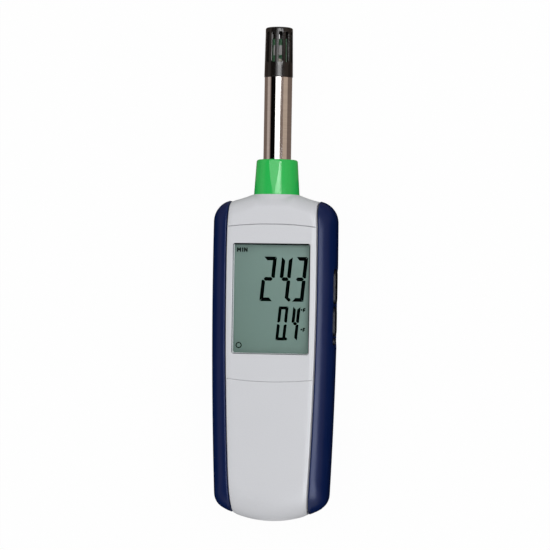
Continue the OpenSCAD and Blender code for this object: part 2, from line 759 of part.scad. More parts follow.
ring_opening = 4;
carrier_l = 8;
carrier_bore_r = 2.4;
slot_depth = 3;
spigot_y1 = tube_y1 + spigot_l;
sensor_board_t = 1;
sensor_side = 5;
sensor_h = 1.8;
sensor_y = spigot_y1 + 8;
bead_w = 3;
bead_l = 2;
bead_h = 1.6;
bead_y = spigot_y1 + 2.5;

module sensor_carrier() color("#22252a") placed() translate([0, 0, axis_z]) difference() {
    rod_y(spigot_r, tube_y1 - carrier_l, spigot_y1, $fn = 64);
    rod_y(carrier_bore_r, tube_y1 - carrier_l - 1, spigot_y1 - slot_depth, $fn = 48);
    block(-sensor_board_w / 2 - fit, sensor_board_w / 2 + fit, spigot_y1 - slot_depth, spigot_y1 + 1,
        -sensor_board_t / 2 - fit, sensor_board_t / 2 + fit);
}

module sensor_board() color("#1d5a36") placed() translate([0, 0, axis_z])
    block(-sensor_board_w / 2, sensor_board_w / 2, spigot_y1 - slot_depth, spigot_y1 + sensor_board_l,
        -sensor_board_t / 2, sensor_board_t / 2);

module on_sensor_board(y, w, l, h)
    translate([-w / 2, y - l / 2, axis_z + sensor_board_t / 2]) cube([w, l, h]);

module humidity_sensor() color("#c9ccd0") placed()
    on_sensor_board(sensor_y, sensor_side, sensor_side, sensor_h);
module thermistor() color("#d9d3c4") placed() on_sensor_board(bead_y, bead_w, bead_l, bead_h);

lead_r = 0.6;
lead_step = 0.8;
plug_y0 = board_y1 - 8;
plug_l = 4;
plug_w = 8;
plug_h = 4;
header_l = 6;
header_wall = 0.6;

module probe_leads() color("#b33a30") placed() for (x = lead_step * [-1, 1], z = lead_step * [-1, 1])
    translate([x, 0, axis_z + z]) rod_y(lead_r, plug_y0 + plug_l, spigot_y1 - slot_depth, $fn = 20);

module lead_plug() color("#e6e2d4") placed()
    block(-plug_w / 2, plug_w / 2, plug_y0, plug_y0 + plug_l, axis_z - plug_h / 2, axis_z + plug_h / 2);

module board_header() color("#d9d4c2") placed()
    block(-plug_w / 2 - header_wall, plug_w / 2 + header_wall, plug_y0 - header_l, plug_y0,
        axis_z - plug_h / 2 - header_wall, board_z);

module sensor_cap() color("#1d1d1f") placed() translate([0, tube_y1 + fit, axis_z]) rotate([-90, 0, 0])
    difference() {
        rotate_extrude($fn = 96) polygon(concat(
            [[spigot_r + slide_fit, 0], [cap_base_d / 2, 0], [cap_tip_d / 2, cap_l - fit - cap_edge]],
            [for (a = [15:15:90])
                [cap_tip_d / 2 - cap_edge * (1 - cos(a)), cap_l - fit - cap_edge * (1 - sin(a))]],
            [[0, cap_l - fit], [0, cap_l - fit - cap_end_t]],
            [[spigot_r + slide_fit, cap_l - fit - cap_end_t]]));
        for (i = [0:slot_count - 1]) rotate([0, 0, 360 * (i + 0.5) / slot_count])
            translate([1, -slot_w / 2, cap_l - fit - slot_from_tip - slot_l])
                cube([cap_base_d, slot_w, slot_l]);
    }

module battery() color("#2a2c30") placed() translate([0, battery_y, battery_z]) {
    translate([0, battery_l / 2, battery_t / 2]) rotate([90, 0, 0]) translate([0, 0, -battery_l / 2])
        linear_extrude(battery_l) polygon(round_rect(battery_w, battery_t, 2));
    for (s = [-1, 1]) translate([s * stud_x, battery_l + stud_h, battery_t / 2]) rotate([90, 0, 0])
        cylinder(d = stud_d, h = stud_h + tiny, $fn = 32);
}

module battery_snap() color("#1a1a1c") placed() difference() {
    translate([0, battery_y + battery_l + fit + snap_t, battery_z + battery_t / 2]) rotate([90, 0, 0])
        linear_extrude(snap_t) polygon(round_rect(battery_w - 2, battery_t - 5, 2));
    for (s = [-1, 1]) translate([s * stud_x, battery_y + battery_l + stud_h + 0.6, battery_z + battery_t / 2])
        rotate([90, 0, 0]) cylinder(d = stud_d + 2 * fit, h = stud_h + 1, $fn = 32);
}

lead_z = bay_z1 - 7.5;
lead_x = 2.5;
lead_end_y = board_y0 + 3;

module battery_leads() color("#c23a30") placed() for (s = [-1, 1]) translate([s * lead_x, 0, 0]) {
    translate([0, 0, lead_z]) rod_y(lead_r, battery_y + battery_l + fit + snap_t, lead_end_y, $fn = 20);
    translate([0, lead_end_y, lead_z]) sphere(r = lead_r, $fn = 20);
    translate([0, lead_end_y, lead_z]) cylinder(r = lead_r, h = board_z - lead_z, $fn = 20);
}

door_ridges = 6;
ridge_step = 2.2;
ridge_r = 1;
ridge_hw = 6;

module battery_door() color(grey) placed() {
    difference() {
        intersection() {
            skin(0, 0, 0);
            union() {
                block(-door_hw, door_hw, -1, door_y1, -1, door_t);
                block(-door_hw, door_hw, -1, bay_y0 - bay_wall - gap, -1, door_foot_z);
            }
        }
        intersection() {
            skin(door_t, door_t, door_t);
            block(door_t - door_hw, door_hw - door_t, 0, bay_y0, door_t, door_foot_z + 1);
        }
        for (i = [0:door_ridges - 1]) hull() for (s = [-1, 1])
            translate([s * (ridge_hw - 0.5 * i), door_y1 - 12 - ridge_step * i, -0.6 * ridge_r])
                sphere(r = ridge_r, $fn = 8);
    }
    both_sides() block(door_hw - 1, door_hw + tongue_w, tongue_y0, door_y1 - tongue_end,
        door_t - tongue_t, door_t);
}

module case_screws() color("#a9abae") placed() both_sides() for (at = case_screws_at)
    translate([at[0], at[1], screw_head_z]) difference() {
        union() {
            cylinder(d = screw_head_d, h = screw_head_h, $fn = 32);
            cylinder(d = screw_d, h = cavity_z - 3 - screw_head_z, $fn = 24);
        }
        for (a = [0, 90]) rotate([0, 0, a]) translate([-1.5, -0.35, -tiny]) cube([3, 0.7, 1]);
    }

front_shell();
rear_shell();
left_grip();
right_grip();
display_bezel();
window_lens();
lcd_glass();
lcd_frame();
zebra_strips();
main_board();
board_chips();
buzzer();
board_screws();
key_board();
key_switches();
upper_key();
lower_key();
power_key();
probe_collar();
probe_tube();
tube_ring();
sensor_carrier();
sensor_board();
humidity_sensor();
thermistor();
probe_leads();
lead_plug();
board_header();
sensor_cap();
battery();
battery_snap();
battery_leads();
battery_door();
case_screws();
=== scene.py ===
"""A handheld thermo-hygrometer: the moulded case, grips, display, keys, collar and sensor probe.

Sizes are in millimetres, with Y counted from the foot of the case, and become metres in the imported
model's frame when a mesh is made.
"""

import logging
import math
from dataclasses import dataclass, field
from enum import Enum
from typing import Callable, ClassVar, Sequence

import bmesh
import bpy
import numpy as np
from mathutils import Matrix, Vector


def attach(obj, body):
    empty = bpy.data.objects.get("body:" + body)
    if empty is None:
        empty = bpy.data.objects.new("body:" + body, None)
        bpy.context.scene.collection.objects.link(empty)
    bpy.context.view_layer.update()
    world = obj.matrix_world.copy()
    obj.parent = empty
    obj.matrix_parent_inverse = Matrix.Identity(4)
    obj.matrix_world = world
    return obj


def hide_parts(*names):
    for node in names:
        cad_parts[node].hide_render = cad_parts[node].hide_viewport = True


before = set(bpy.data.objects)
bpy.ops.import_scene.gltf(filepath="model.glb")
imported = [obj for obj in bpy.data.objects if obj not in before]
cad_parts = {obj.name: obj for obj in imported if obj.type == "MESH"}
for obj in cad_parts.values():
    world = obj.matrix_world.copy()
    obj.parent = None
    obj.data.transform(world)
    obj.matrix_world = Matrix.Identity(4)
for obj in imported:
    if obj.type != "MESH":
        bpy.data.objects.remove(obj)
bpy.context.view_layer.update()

Array = np.ndarray
Pair = tuple[float, float]
Triple = tuple[float, float, float]
Colour = Triple
Row = tuple[Array, Array, Array]
PlaceRule = Callable[[Array, Array], Array]
Object = bpy.types.Object
Socket = bpy.types.NodeSocket
Skin = bpy.types.Material

log = logging.getLogger("thermo_hygrometer")

MM = 0.001
RIGHT = math.pi / 2
HALVINGS = 26
PLAIN_ANGLE = 32.0
SOFT_ANGLE = 40.0


class Body(Enum):
    """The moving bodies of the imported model."""

    CASE = "case"
    CAP = "cap"
    UPPER_KEY = "upper_key"
    LOWER_KEY = "lower_key"
    POWER_KEY = "power_key"
    DOOR = "door"


class Side(Enum):
    """Front or back half of the case form."""

    FRONT = 1.0
    BACK = -1.0

    @property
    def pick(self) -> int:
        """Place of this side's size in a pair of sizes."""
        return 0 if self is Side.FRONT else 1


# The form of the case.


def srgb(red: int, green: int, blue: int) -> Colour:
    """Turn a display colour of 0 to 255 into a linear one."""
    return tuple(c / 3294.6 if c <= 10 else ((c / 255 + 0.055) / 1.055) ** 2.4
                 for c in (red, green, blue))


def fillet_sink(distance: Array | float, radius: float) -> Array:
    """How far a rounded edge lies below its face, at a distance from the edge."""
    reach = np.clip(radius - distance, 0, radius)
    return radius - np.sqrt(np.maximum(radius ** 2 - reach ** 2, 0))


def angle_of(way: Array) -> float:
    """Angle of a direction from the x axis."""
    return math.atan2(way[1], way[0])


def circles_meet(c1: Array, r1: float, c2: Array, r2: float, side: int) -> Array:
    """Find where two circles cross.

    Args:
        c1, r1: Centre and radius of the first circle.
        c2, r2: Centre and radius of the second.
        side: 1 for the crossing left of the way between the centres, -1 for the right one.

    Returns:
        The crossing.
    """
    d = np.linalg.norm(c2 - c1)
    u = (c2 - c1) / d
    a = (r1 ** 2 - r2 ** 2 + d ** 2) / (2 * d)
    return c1 + a * u + side * math.sqrt(r1 ** 2 - a ** 2) * np.array([-u[1], u[0]])


@dataclass(frozen=True)
class CaseForm:
    """The rule of the moulded case: one outline of arcs, drawn in level by level."""

    width: float = 64.0
    thickness: float = 30.0
    length: float = 167.2
    split_z: float = 15.0
    foot_y: float = -126.5
    foot_r: float = 53.4
    foot_corner_r: float = 8.5
    side_r: float = 2500.0
    widest_y: float = 125.0
    top_corner_r: float = 11.0
    shoulder_r: float = 60.0
    neck_slope: float = 23.0
    neck_hw: float = 11.7
    arc_steps: tuple[int, ...] = (300, 300, 400, 300, 200)
    settling: int = 8
    round_side: Pair = (10.0, 7.5)
    round_foot: Pair = (15.0, 10.0)
    round_top: Pair = (7.0, 6.0)
    round_z: Pair = (12.0, 13.0)
    grip_front: float = 8.6
    grip_proud: float = 0.4
    panel_edge_r: float = 2000.0
    groove: float = 0.6
    neck_r: float = 12.0
    flare_hw: float = 18.0
    flare_y: float = 157.2
    flare_blend: float = 0.9

    def __post_init__(self) -> None:
        """Work out the half outline once, as a dense line of points with their outward normals."""
        points, normals = self._half_outline()
        object.__setattr__(self, "points", points)
        object.__setattr__(self, "normals", normals)
        object.__setattr__(self, "widest", int(np.argmax(points[:, 0])))

    @property
    def half_w(self) -> float:
        """Half the width of the case."""
        return self.width / 2

    @property
    def axis_z(self) -> float:
        """Height of the probe's axis over the back."""
        return self.thickness / 2

    def _half_outline(self) -> tuple[Array, Array]:
        """Follow the tangent arcs from the middle of the foot to the neck.

        Returns:
            Points and unit normals, each an array of (x, y).
        """
        slope = math.radians(self.neck_slope)
        foot_c = np.array([0.0, self.foot_r])
        side_c = np.array([self.half_w - self.side_r, self.widest_y])
        corner_c = circles_meet(foot_c, self.foot_r - self.foot_corner_r,
                                side_c, self.side_r - self.foot_corner_r, 1)
        shoulder_c = (np.array([self.neck_hw, self.length])
                      + self.shoulder_r * np.array([math.sin(slope), math.cos(slope)]))
        top_c = circles_meet(side_c, self.side_r - self.top_corner_r,
                             shoulder_c, self.shoulder_r + self.top_corner_r, -1)
        foot_end, side_low = angle_of(corner_c - foot_c), angle_of(corner_c - side_c)
        side_top, top_end = angle_of(top_c - side_c), angle_of(shoulder_c - top_c)
        arcs = ((foot_c, self.foot_r, -RIGHT, foot_end, 1),
                (corner_c, self.foot_corner_r, foot_end, side_low, 1),
                (side_c, self.side_r, side_low, side_top, 1),
                (top_c, self.top_corner_r, side_top, top_end, 1),
                (shoulder_c, self.shoulder_r, top_end + math.pi, 3 * RIGHT - slope, -1))
        points, normals = [], []
        for (centre, radius, start, end, sign), steps in zip(arcs, self.arc_steps):
            a = np.linspace(start, end, steps)
            turn = np.stack([np.cos(a), np.sin(a)], 1)
            points.append(centre + radius * turn)
            normals.append(sign * turn)
        return np.concatenate(points), np.concatenate(normals)

    def half_width(self, y: Array) -> Array:
        """Half width of the outline at a distance from the foot."""
        return np.interp(y, self.points[:, 1], self.points[:, 0])

    def panel_edge(self, y: Array) -> Array:
        """Half width of the grey faces, where the grips begin."""
        return (self.half_w - self.grip_front - self.panel_edge_r
                + np.sqrt(self.panel_edge_r ** 2 - (y - self.widest_y) ** 2))

    def _draw_in(self, level: Array, side: Side, inset: float = 0.0, proud: float = 0.0) -> Row:
        """Find how far a level is drawn in.

        Args:
            level: The level's angle.
            side: Front or back of the form.
            inset: How far the form is drawn in all round.
            proud: How much lower its top end lies.

        Returns:
            The distances at the sides, the foot and the top.
        """
        left = 1 - np.sin(level)
        at_side, foot, top = (sizes[side.pick] - inset
                              for sizes in (self.round_side, self.round_foot, self.round_top))
        return inset + left * at_side, inset + left * foot, inset + proud + left * top

    def level_z(self, level: Array, side: Side, depth: float = 0.0) -> Array:
        """Height of a level over the back, for a form whose faces lie at a depth."""
        rise = depth + (self.round_z[side.pick] - depth) * (1 - np.cos(level))
        return self.thickness - rise if side is Side.FRONT else rise

    def _outline_at(self, x: Array, y: Array, level: Array, side: Side,
                    proud: float = 0.0) -> tuple[Array, Array]:
        """Undo a level's drawing in, which gives the matching place on the outline."""
        at_side, foot, top = self._draw_in(level, side, proud=proud)
        return (np.abs(x) * self.half_w / (self.half_w - at_side),
                (y - foot) * self.length / (self.length - foot - top))

    def _inside(self, x: Array, y: Array, level: Array, side: Side) -> Array:
        """Whether places lie inside a level's line."""
        xo, yo = self._outline_at(x, y, level, side)
        return (yo >= 0) & (yo <= self.length) & (xo <= self.half_width(yo))

    def level_of(self, x: Array, y: Array, side: Side) -> Array:
        """Find the level whose line passes over a place.

        Args:
            x, y: The place, seen from the front.
            side: Front or back of the form.

        Returns:
            The level's angle, which is 0 over the flat middle and a right angle at the outline.
        """
        x, y = np.broadcast_arrays(np.asarray(x, float), np.asarray(y, float))
        low, high = np.zeros_like(x), np.full_like(x, RIGHT)
        for _ in range(HALVINGS):
            mid = (low + high) / 2
            inside = self._inside(x, y, mid, side)
            high, low = np.where(inside, mid, high), np.where(inside, low, mid)
        return np.where(self._inside(x, y, np.zeros_like(x), side), 0.0, high)

    def cross(self, x_of: Callable[[Array], Array], level: Array, side: Side, at_top: bool
              ) -> tuple[Array, Array]:
        """Find where lines along the case cross a level at the foot or at the shoulders.

        Args:
            x_of: Gives each line's x at a distance from the foot.
            level: The level's angle for each line.
            side: Front or back of the form.
            at_top: Whether the shoulders are meant.

        Returns:
            x and y of the crossings, settled by turns because each depends a little on the other.
        """
        at_side, foot, top = self._draw_in(level, side)
        branch = self.points[:self.widest - 1:-1] if at_top else self.points[:self.widest + 1]
        y = np.full_like(level, self.length if at_top else 0.0)
        for _ in range(self.settling):
            x = x_of(y)
            y = foot + np.interp(np.abs(x) * self.half_w / (self.half_w - at_side), branch[:, 0],
                                 branch[:, 1]) * (self.length - foot - top) / self.length
        return x, y

    def ring_point(self, index: Array, level: Array, side: Side, inset: float = 0.0,
                   depth: float = 0.0, proud: float = 0.0) -> Array:
        """Place points by their place on the outline and their level.

        Args:
            index: Place on the dense half outline, fractions allowed.
            level: Level angles.
            side: Front or back of the form.
            inset: How far the form is drawn in all round.
            depth: How deep its faces lie.
            proud: How much lower its top end lies.

        Returns:
            Points, with a last axis of x, y, z.
        """
        steps = np.arange(len(self.points))
        at_side, foot, top = self._draw_in(level, side, inset, proud)
        x = np.interp(index, steps, self.points[:, 0]) * (self.half_w - at_side) / self.half_w
        y = foot + np.interp(index, steps, self.points[:, 1]) * (self.length - foot - top) / self.length
        return np.stack([x, y, self.level_z(level, side, depth) + 0 * x], -1)

    def with_neck(self, x: Array, y: Array, z: Array, side: Side) -> Array:
        """Raise heights to the neck, which flares from round at the collar into both faces.

        Args:
            x, y: The places, seen from the front.
            z: Their heights over the back without the neck.
            side: Front or back of the form.

        Returns:
            The heights with the neck blended in.
        """
        rise = side.value * (z - self.axis_z)
        t = np.clip((y - self.flare_y) / (self.length - self.flare_y), 0, 1)
        half_w = self.neck_r + (self.flare_hw - self.neck_r) * (1 - t) ** 2
        half_h = self.neck_r + (self.axis_z - self.neck_r) * (1 - t ** 2)
        corner = np.minimum(half_w, half_h)
        across = np.clip(np.abs(x) - (half_w - corner), 0, corner)
        neck = np.where(np.abs(x) < half_w, half_h - corner + np.sqrt(corner ** 2 - across ** 2), 0.0)
        share = np.clip(0.5 + 0.5 * (neck - rise) / self.flare_blend, 0, 1)
        raised = rise * (1 - share) + neck * share + self.flare_blend * share * (1 - share)
        return self.axis_z + side.value * np.where(t > 0, np.minimum(raised, self.axis_z), rise)

    def normal(self, x: Array, y: Array, level: Array, side: Side, proud: float = 0.0) -> Array:
        """Work out the form's outward unit normal from its rule.

        Args:
            x, y: The places, seen from the front.
            level: Their level angles.
            side: Front or back of the form.
            proud: How much lower the form's top end lies.

        Returns:
            Normals, with a last axis of x, y, z.
        """
        k = side.pick
        at_side, foot, top = self._draw_in(level, side, proud=proud)
        xo, yo = self._outline_at(x, y, level, side, proud)
        nx = np.interp(yo, self.points[:, 1], self.normals[:, 0]) * np.sign(x)
        ny = np.interp(yo, self.points[:, 1], self.normals[:, 1])
        square = (yo > self.length - 0.02) & (xo < self.neck_hw)
        nx, ny = np.where(square, 0.0, nx), np.where(square, 1.0, ny)
        kx = (self.half_w - at_side) / self.half_w
        ky = (self.length - foot - top) / self.length
        rz, c, s = self.round_z[k], np.cos(level), np.sin(level)
        ux = xo * np.sign(x) * c * self.round_side[k] / self.half_w
        uy = -c * self.round_foot[k] + yo * c * (self.round_foot[k] + self.round_top[k]) / self.length
        n = np.stack([nx * ky * rz * s, ny * kx * rz * s,
                      side.value * (ny * kx * uy + nx * ky * ux)], -1)
        n = np.where((level < 1e-6)[..., None], np.array([0.0, 0.0, side.value]), n)
        return n / np.linalg.norm(n, axis=-1, keepdims=True)


FORM = CaseForm()


# Meshes.


@dataclass
class Shape:
    """Corners in millimetres and the faces between them."""

    points: Array
    faces: list[tuple[int, ...]]

    def plus(self, other: "Shape") -> "Shape":
        """Put another shape beside this one."""
        faces = [tuple(i + len(self.points) for i in f) for f in other.faces]
        return Shape(np.concatenate([self.points, other.points]), self.faces + faces)


def plate(outer: Array, inner: Array, keep: Array | None = None, wrap: bool = False,
          open_ends: bool = False) -> Shape:
    """Close the space between two grids of points, leaving out cells that aren't kept.

    Args:
        outer: Rows and columns of points of the outer face.
        inner: The matching points of the inner face.
        keep: Which cells are there, all of them if None.
        wrap: Whether the last column joins the first.
        open_ends: Whether the first and last columns get no wall, for a sector that is repeated.

    Returns:
        The closed shape.
    """
    rows, cols = outer.shape[:2]
    last = cols if wrap else cols - 1
    if keep is None:
        keep = np.ones((rows - 1, last), bool)
    half = rows * cols
    faces: list[tuple[int, ...]] = []

    def kept(r: int, c: int) -> bool:
        """Whether a cell is there."""
        c = c % cols if wrap else c
        return 0 <= r < rows - 1 and 0 <= c < last and bool(keep[r, c])

    for r, c in np.argwhere(keep).tolist():
        a, b = r * cols + c, r * cols + (c + 1) % cols
        e, d = a + cols, b + cols
        faces += [(a, b, d, e), (half + e, half + d, half + b, half + a)]
        if not kept(r - 1, c):
            faces.append((b, a, half + a, half + b))
        if not kept(r + 1, c):
            faces.append((e, d, half + d, half + e))
        if not kept(r, c - 1) and not (open_ends and c == 0):
            faces.append((a, e, half + e, half + a))
        if not kept(r, c + 1) and not (open_ends and c == last - 1):
            faces.append((d, b, half + b, half + d))
    return Shape(np.concatenate([outer.reshape(-1, 3), inner.reshape(-1, 3)]), faces)


def block(x0: float, x1: float, y0: float, y1: float, z0: float, z1: float) -> Shape:
    """A plain block between two corners, for what lies inside or cuts."""
    points = np.array([(x, y, z) for x in (x0, x1) for y in (y0, y1) for z in (z0, z1)])
    return Shape(points, [(0, 1, 3, 2), (4, 6, 7, 5), (0, 4, 5, 1), (2, 3, 7, 6), (0, 2, 6, 4),
                          (1, 5, 7, 3)])


def ring(radius: float, z: float, x: float = 0.0, y: float = 0.0, steps: int = 40) -> Array:
    """Points of a level circle."""
    a = np.linspace(0, 2 * math.pi, steps, endpoint=False)
    return np.column_stack([x + radius * np.cos(a), y + radius * np.sin(a), np.full(steps, z)])


def loft(rings: Sequence[Array]) -> Shape:
    """Join closed rings of equal counts one after the other, and close both ends.

    Args:
        rings: The rings' points.

    Returns:
        The closed shape.
    """
    n, last = len(rings[0]), (len(rings) - 1) * len(rings[0])
    faces = [(k + i, k + (i + 1) % n, k + n + (i + 1) % n, k + n + i)
             for k in range(0, last, n) for i in range(n)]
    ends = [tuple(range(n - 1, -1, -1)), tuple(last + i for i in range(n))]
    return Shape(np.concatenate(rings), faces + ends)


def lathe(profile: Sequence[Pair], segments: int) -> Shape:
    """Turn a closed profile round the probe's axis.

    Args:
        profile: Radius and distance from the foot of each corner.
        segments: How many faces lie round the axis.

    Returns:
        The turned shape.
    """
    a = np.linspace(0, 2 * math.pi, segments, endpoint=False)
    r, y = np.array(profile).T
    grid = np.stack([r[:, None] * np.cos(a), y[:, None] + 0 * a,
                     FORM.axis_z + r[:, None] * np.sin(a)], -1)
    n, m = len(profile), segments
    faces = [(k * m + i, ((k + 1) % n) * m + i, ((k + 1) % n) * m + (i + 1) % m, k * m + (i + 1) % m)
             for k in range(n) for i in range(m)]
    return Shape(grid.reshape(-1, 3), faces)


def rounded_rect(half_w: float, half_h: float, radius: float, corner_steps: int = 8) -> Array:
    """Draw a rectangle with round corners.

    Args:
        half_w, half_h: Half its sizes.
        radius: Radius of its corners.
        corner_steps: Steps round each corner.

    Returns:
        Its points, counter-clockwise from the right side.
    """
    points = []
    for quarter in range(4):
        cx = (half_w - radius) * (1 if quarter in (0, 3) else -1)
        cy = (half_h - radius) * (1 if quarter in (0, 1) else -1)
        for i in range(corner_steps + 1):
            a = RIGHT * (quarter + i / corner_steps)
            points.append((cx + radius * math.cos(a), cy + radius * math.sin(a)))
    return np.array(points)


def new_object(name: str, data: bpy.types.ID) -> Object:
    """Make an object and link it to the scene.

    Args:
        name: Name of the object.
        data: Its mesh, lamp or camera.

    Returns:
        The object.
    """
    obj = bpy.data.objects.new(name, data)
    bpy.context.scene.collection.objects.link(obj)
    return obj


def make_object(name: str, shape: Shape, material: Skin | None = None,
                smooth_angle: float = PLAIN_ANGLE, merge: float = 1e-4) -> Object:
    """Make a Blender object from a shape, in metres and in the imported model's frame.

    Args:
        name: Name of the object.
        shape: Its corners and faces, in millimetres.
        material: Its material.
        smooth_angle: Edges that turn more than this stay sharp, in degrees.
        merge: Corners closer than this many millimetres become one.

    Returns:
        The object, linked to the scene.
    """
    mesh = bpy.data.meshes.new(name)
    points = (shape.points + np.array([0.0, FORM.foot_y, 0.0])) * MM
    mesh.from_pydata(points.tolist(), [], shape.faces)
    bm = bmesh.new()
    bm.from_mesh(mesh)
    bmesh.ops.remove_doubles(bm, verts=bm.verts, dist=merge * MM)
    bmesh.ops.dissolve_degenerate(bm, edges=bm.edges, dist=merge * MM)
    bmesh.ops.recalc_face_normals(bm, faces=bm.faces)
    bm.to_mesh(mesh)
    bm.free()
    shade(mesh, smooth_angle)
    if material is not None:
        mesh.materials.append(material)
    return new_object(name, mesh)


def shade(mesh: bpy.types.Mesh, smooth_angle: float) -> None:
    """Shade smooth, with the edges sharp that turn more than an angle in degrees."""
    mesh.polygons.foreach_set("use_smooth", [True] * len(mesh.polygons))
    mesh.set_sharp_from_angle(angle=math.radians(smooth_angle))


def cut(obj: Object, cutter: Shape, smooth_angle: float = PLAIN_ANGLE) -> None:
    """Take a closed shape away from an object.

    Args:
        obj: The object.
        cutter: The shape.
        smooth_angle: Edges that turn more than this stay sharp, in degrees.
    """
    tool = make_object("cutter", cutter)
    modifier = obj.modifiers.new("cut", "BOOLEAN")
    modifier.object = tool
    modifier.operation = "DIFFERENCE"
    modifier.solver = "EXACT"
    bake(obj, smooth_angle)
    bpy.data.objects.remove(tool)


def bake(obj: Object, smooth_angle: float = PLAIN_ANGLE) -> None:
    """Turn an object's modifiers into a plain mesh and remove them.

    Args:
        obj: The object.
        smooth_angle: Edges that turn more than this stay sharp, in degrees.
    """
    depsgraph = bpy.context.evaluated_depsgraph_get()
    mesh = bpy.data.meshes.new_from_object(obj.evaluated_get(depsgraph), depsgraph=depsgraph)
    obj.modifiers.clear()
    old, obj.data = obj.data, mesh
    bpy.data.meshes.remove(old)
    mesh.name = obj.name
    shade(mesh, smooth_angle)


def settle(obj: Object, body: Body, slot: str, *nodes: str) -> None:
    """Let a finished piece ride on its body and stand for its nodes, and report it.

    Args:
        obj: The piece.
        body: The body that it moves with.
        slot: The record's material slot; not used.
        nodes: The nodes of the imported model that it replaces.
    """
    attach(obj, body.value)
    if nodes:
        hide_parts(*nodes)
    log.info("%s: %d faces on %s", obj.name, len(obj.data.polygons), body.value)


# Shader nodes.


class Tree:
    """Short ways to add and join nodes in one tree."""

    def __init__(self, tree: bpy.types.NodeTree) -> None:
        """Keep the tree."""
        self.tree = tree

    @classmethod
    def of(cls, owner: bpy.types.ID) -> "Tree":
        """Start an empty tree.

        Args:
            owner: The material or world that it belongs to.

        Returns:
            The tree.
        """
        owner.use_nodes = True
        owner.node_tree.nodes.clear()
        return cls(owner.node_tree)

    def add(self, kind: str, **settings: object) -> bpy.types.Node:
        """Add a node and set its properties.

        Args:
            kind: Type of the node.
            settings: Its properties.

        Returns:
            The node.
        """
        node = self.tree.nodes.new(kind)
        for key, value in settings.items():
            setattr(node, key, value)
        return node

    def link(self, start: Socket, end: Socket) -> None:
        """Join two sockets."""
        self.tree.links.new(start, end)

    def feed(self, socket: Socket, value: object) -> None:
        """Join a socket to another, or set it to a plain value.

        Args:
            socket: The socket that is fed.
            value: The other socket, or the value.
        """
        if isinstance(value, Socket):
            self.link(value, socket)
        else:
            socket.default_value = value

    def node(self, kind: str, values: dict[str | int, object], **settings: object) -> Socket:
        """Add a node and feed its inputs.

        Args:
            kind: Type of the node.
            values: What each input gets, by name or place.
            settings: The node's properties.

        Returns:
            Its first output.
        """
        node = self.add(kind, **settings)
        for key, value in values.items():
            self.feed(node.inputs[key], value)
        return node.outputs[0]

    def show(self, kind: str, surface: Socket) -> None:
        """End the tree in an output node of a kind."""
        self.link(surface, self.add(kind).inputs["Surface"])

    def split(self, vector: Socket) -> Sequence[Socket]:
        """Take a vector apart.

        Args:
            vector: The vector.

        Returns:
            Its three numbers.
        """
        node = self.add("ShaderNodeSeparateXYZ")
        self.link(vector, node.inputs[0])
        return node.outputs

    def math(self, operation: str, *values: object) -> Socket:
        """Work out a number from one to three others."""
        return self.node("ShaderNodeMath", dict(enumerate(values)), operation=operation)

    def times(self, a: object, b: object) -> Socket:
        """Multiply two numbers."""
        return self.math("MULTIPLY", a, b)

    def plus(self, a: object, b: object) -> Socket:
        """Add two numbers."""
        return self.math("ADD", a, b)

    def minus(self, a: object, b: object) -> Socket:
        """Take the second number from the first."""
        return self.math("SUBTRACT", a, b)

    def noise(self, vector: Socket, scale: object, detail: float = 3.0, roughness: float = 0.5
              ) -> Socket:
        """Soft noise from 0 to 1."""
        return self.node("ShaderNodeTexNoise", {"Vector": vector, "Scale": scale, "Detail": detail,
                                                "Roughness": roughness})

    def spread(self, value: object, low: float, high: float) -> Socket:
        """Map a range of numbers on 0 to 1, and clamp it."""
        return self.node("ShaderNodeMapRange", dict(enumerate((value, low, high, 0.0, 1.0))),
                         clamp=True)

    def mix(self, factor: object, first: object, second: object) -> Socket:
        """Mix two colours.

        Args:
            factor: Share of the second.
            first, second: The colours, or the sockets that give them.

        Returns:
            The mixed colour.
        """
        node = self.add("ShaderNodeMix", data_type="RGBA")
        self.feed(node.inputs["Factor"], factor)
        for name, value in (("A", first), ("B", second)):
            socket = next(s for s in node.inputs if s.name == name and s.type == "RGBA")
            self.feed(socket, (*value, 1.0) if isinstance(value, tuple) else value)
        return next(s for s in node.outputs if s.type == "RGBA")


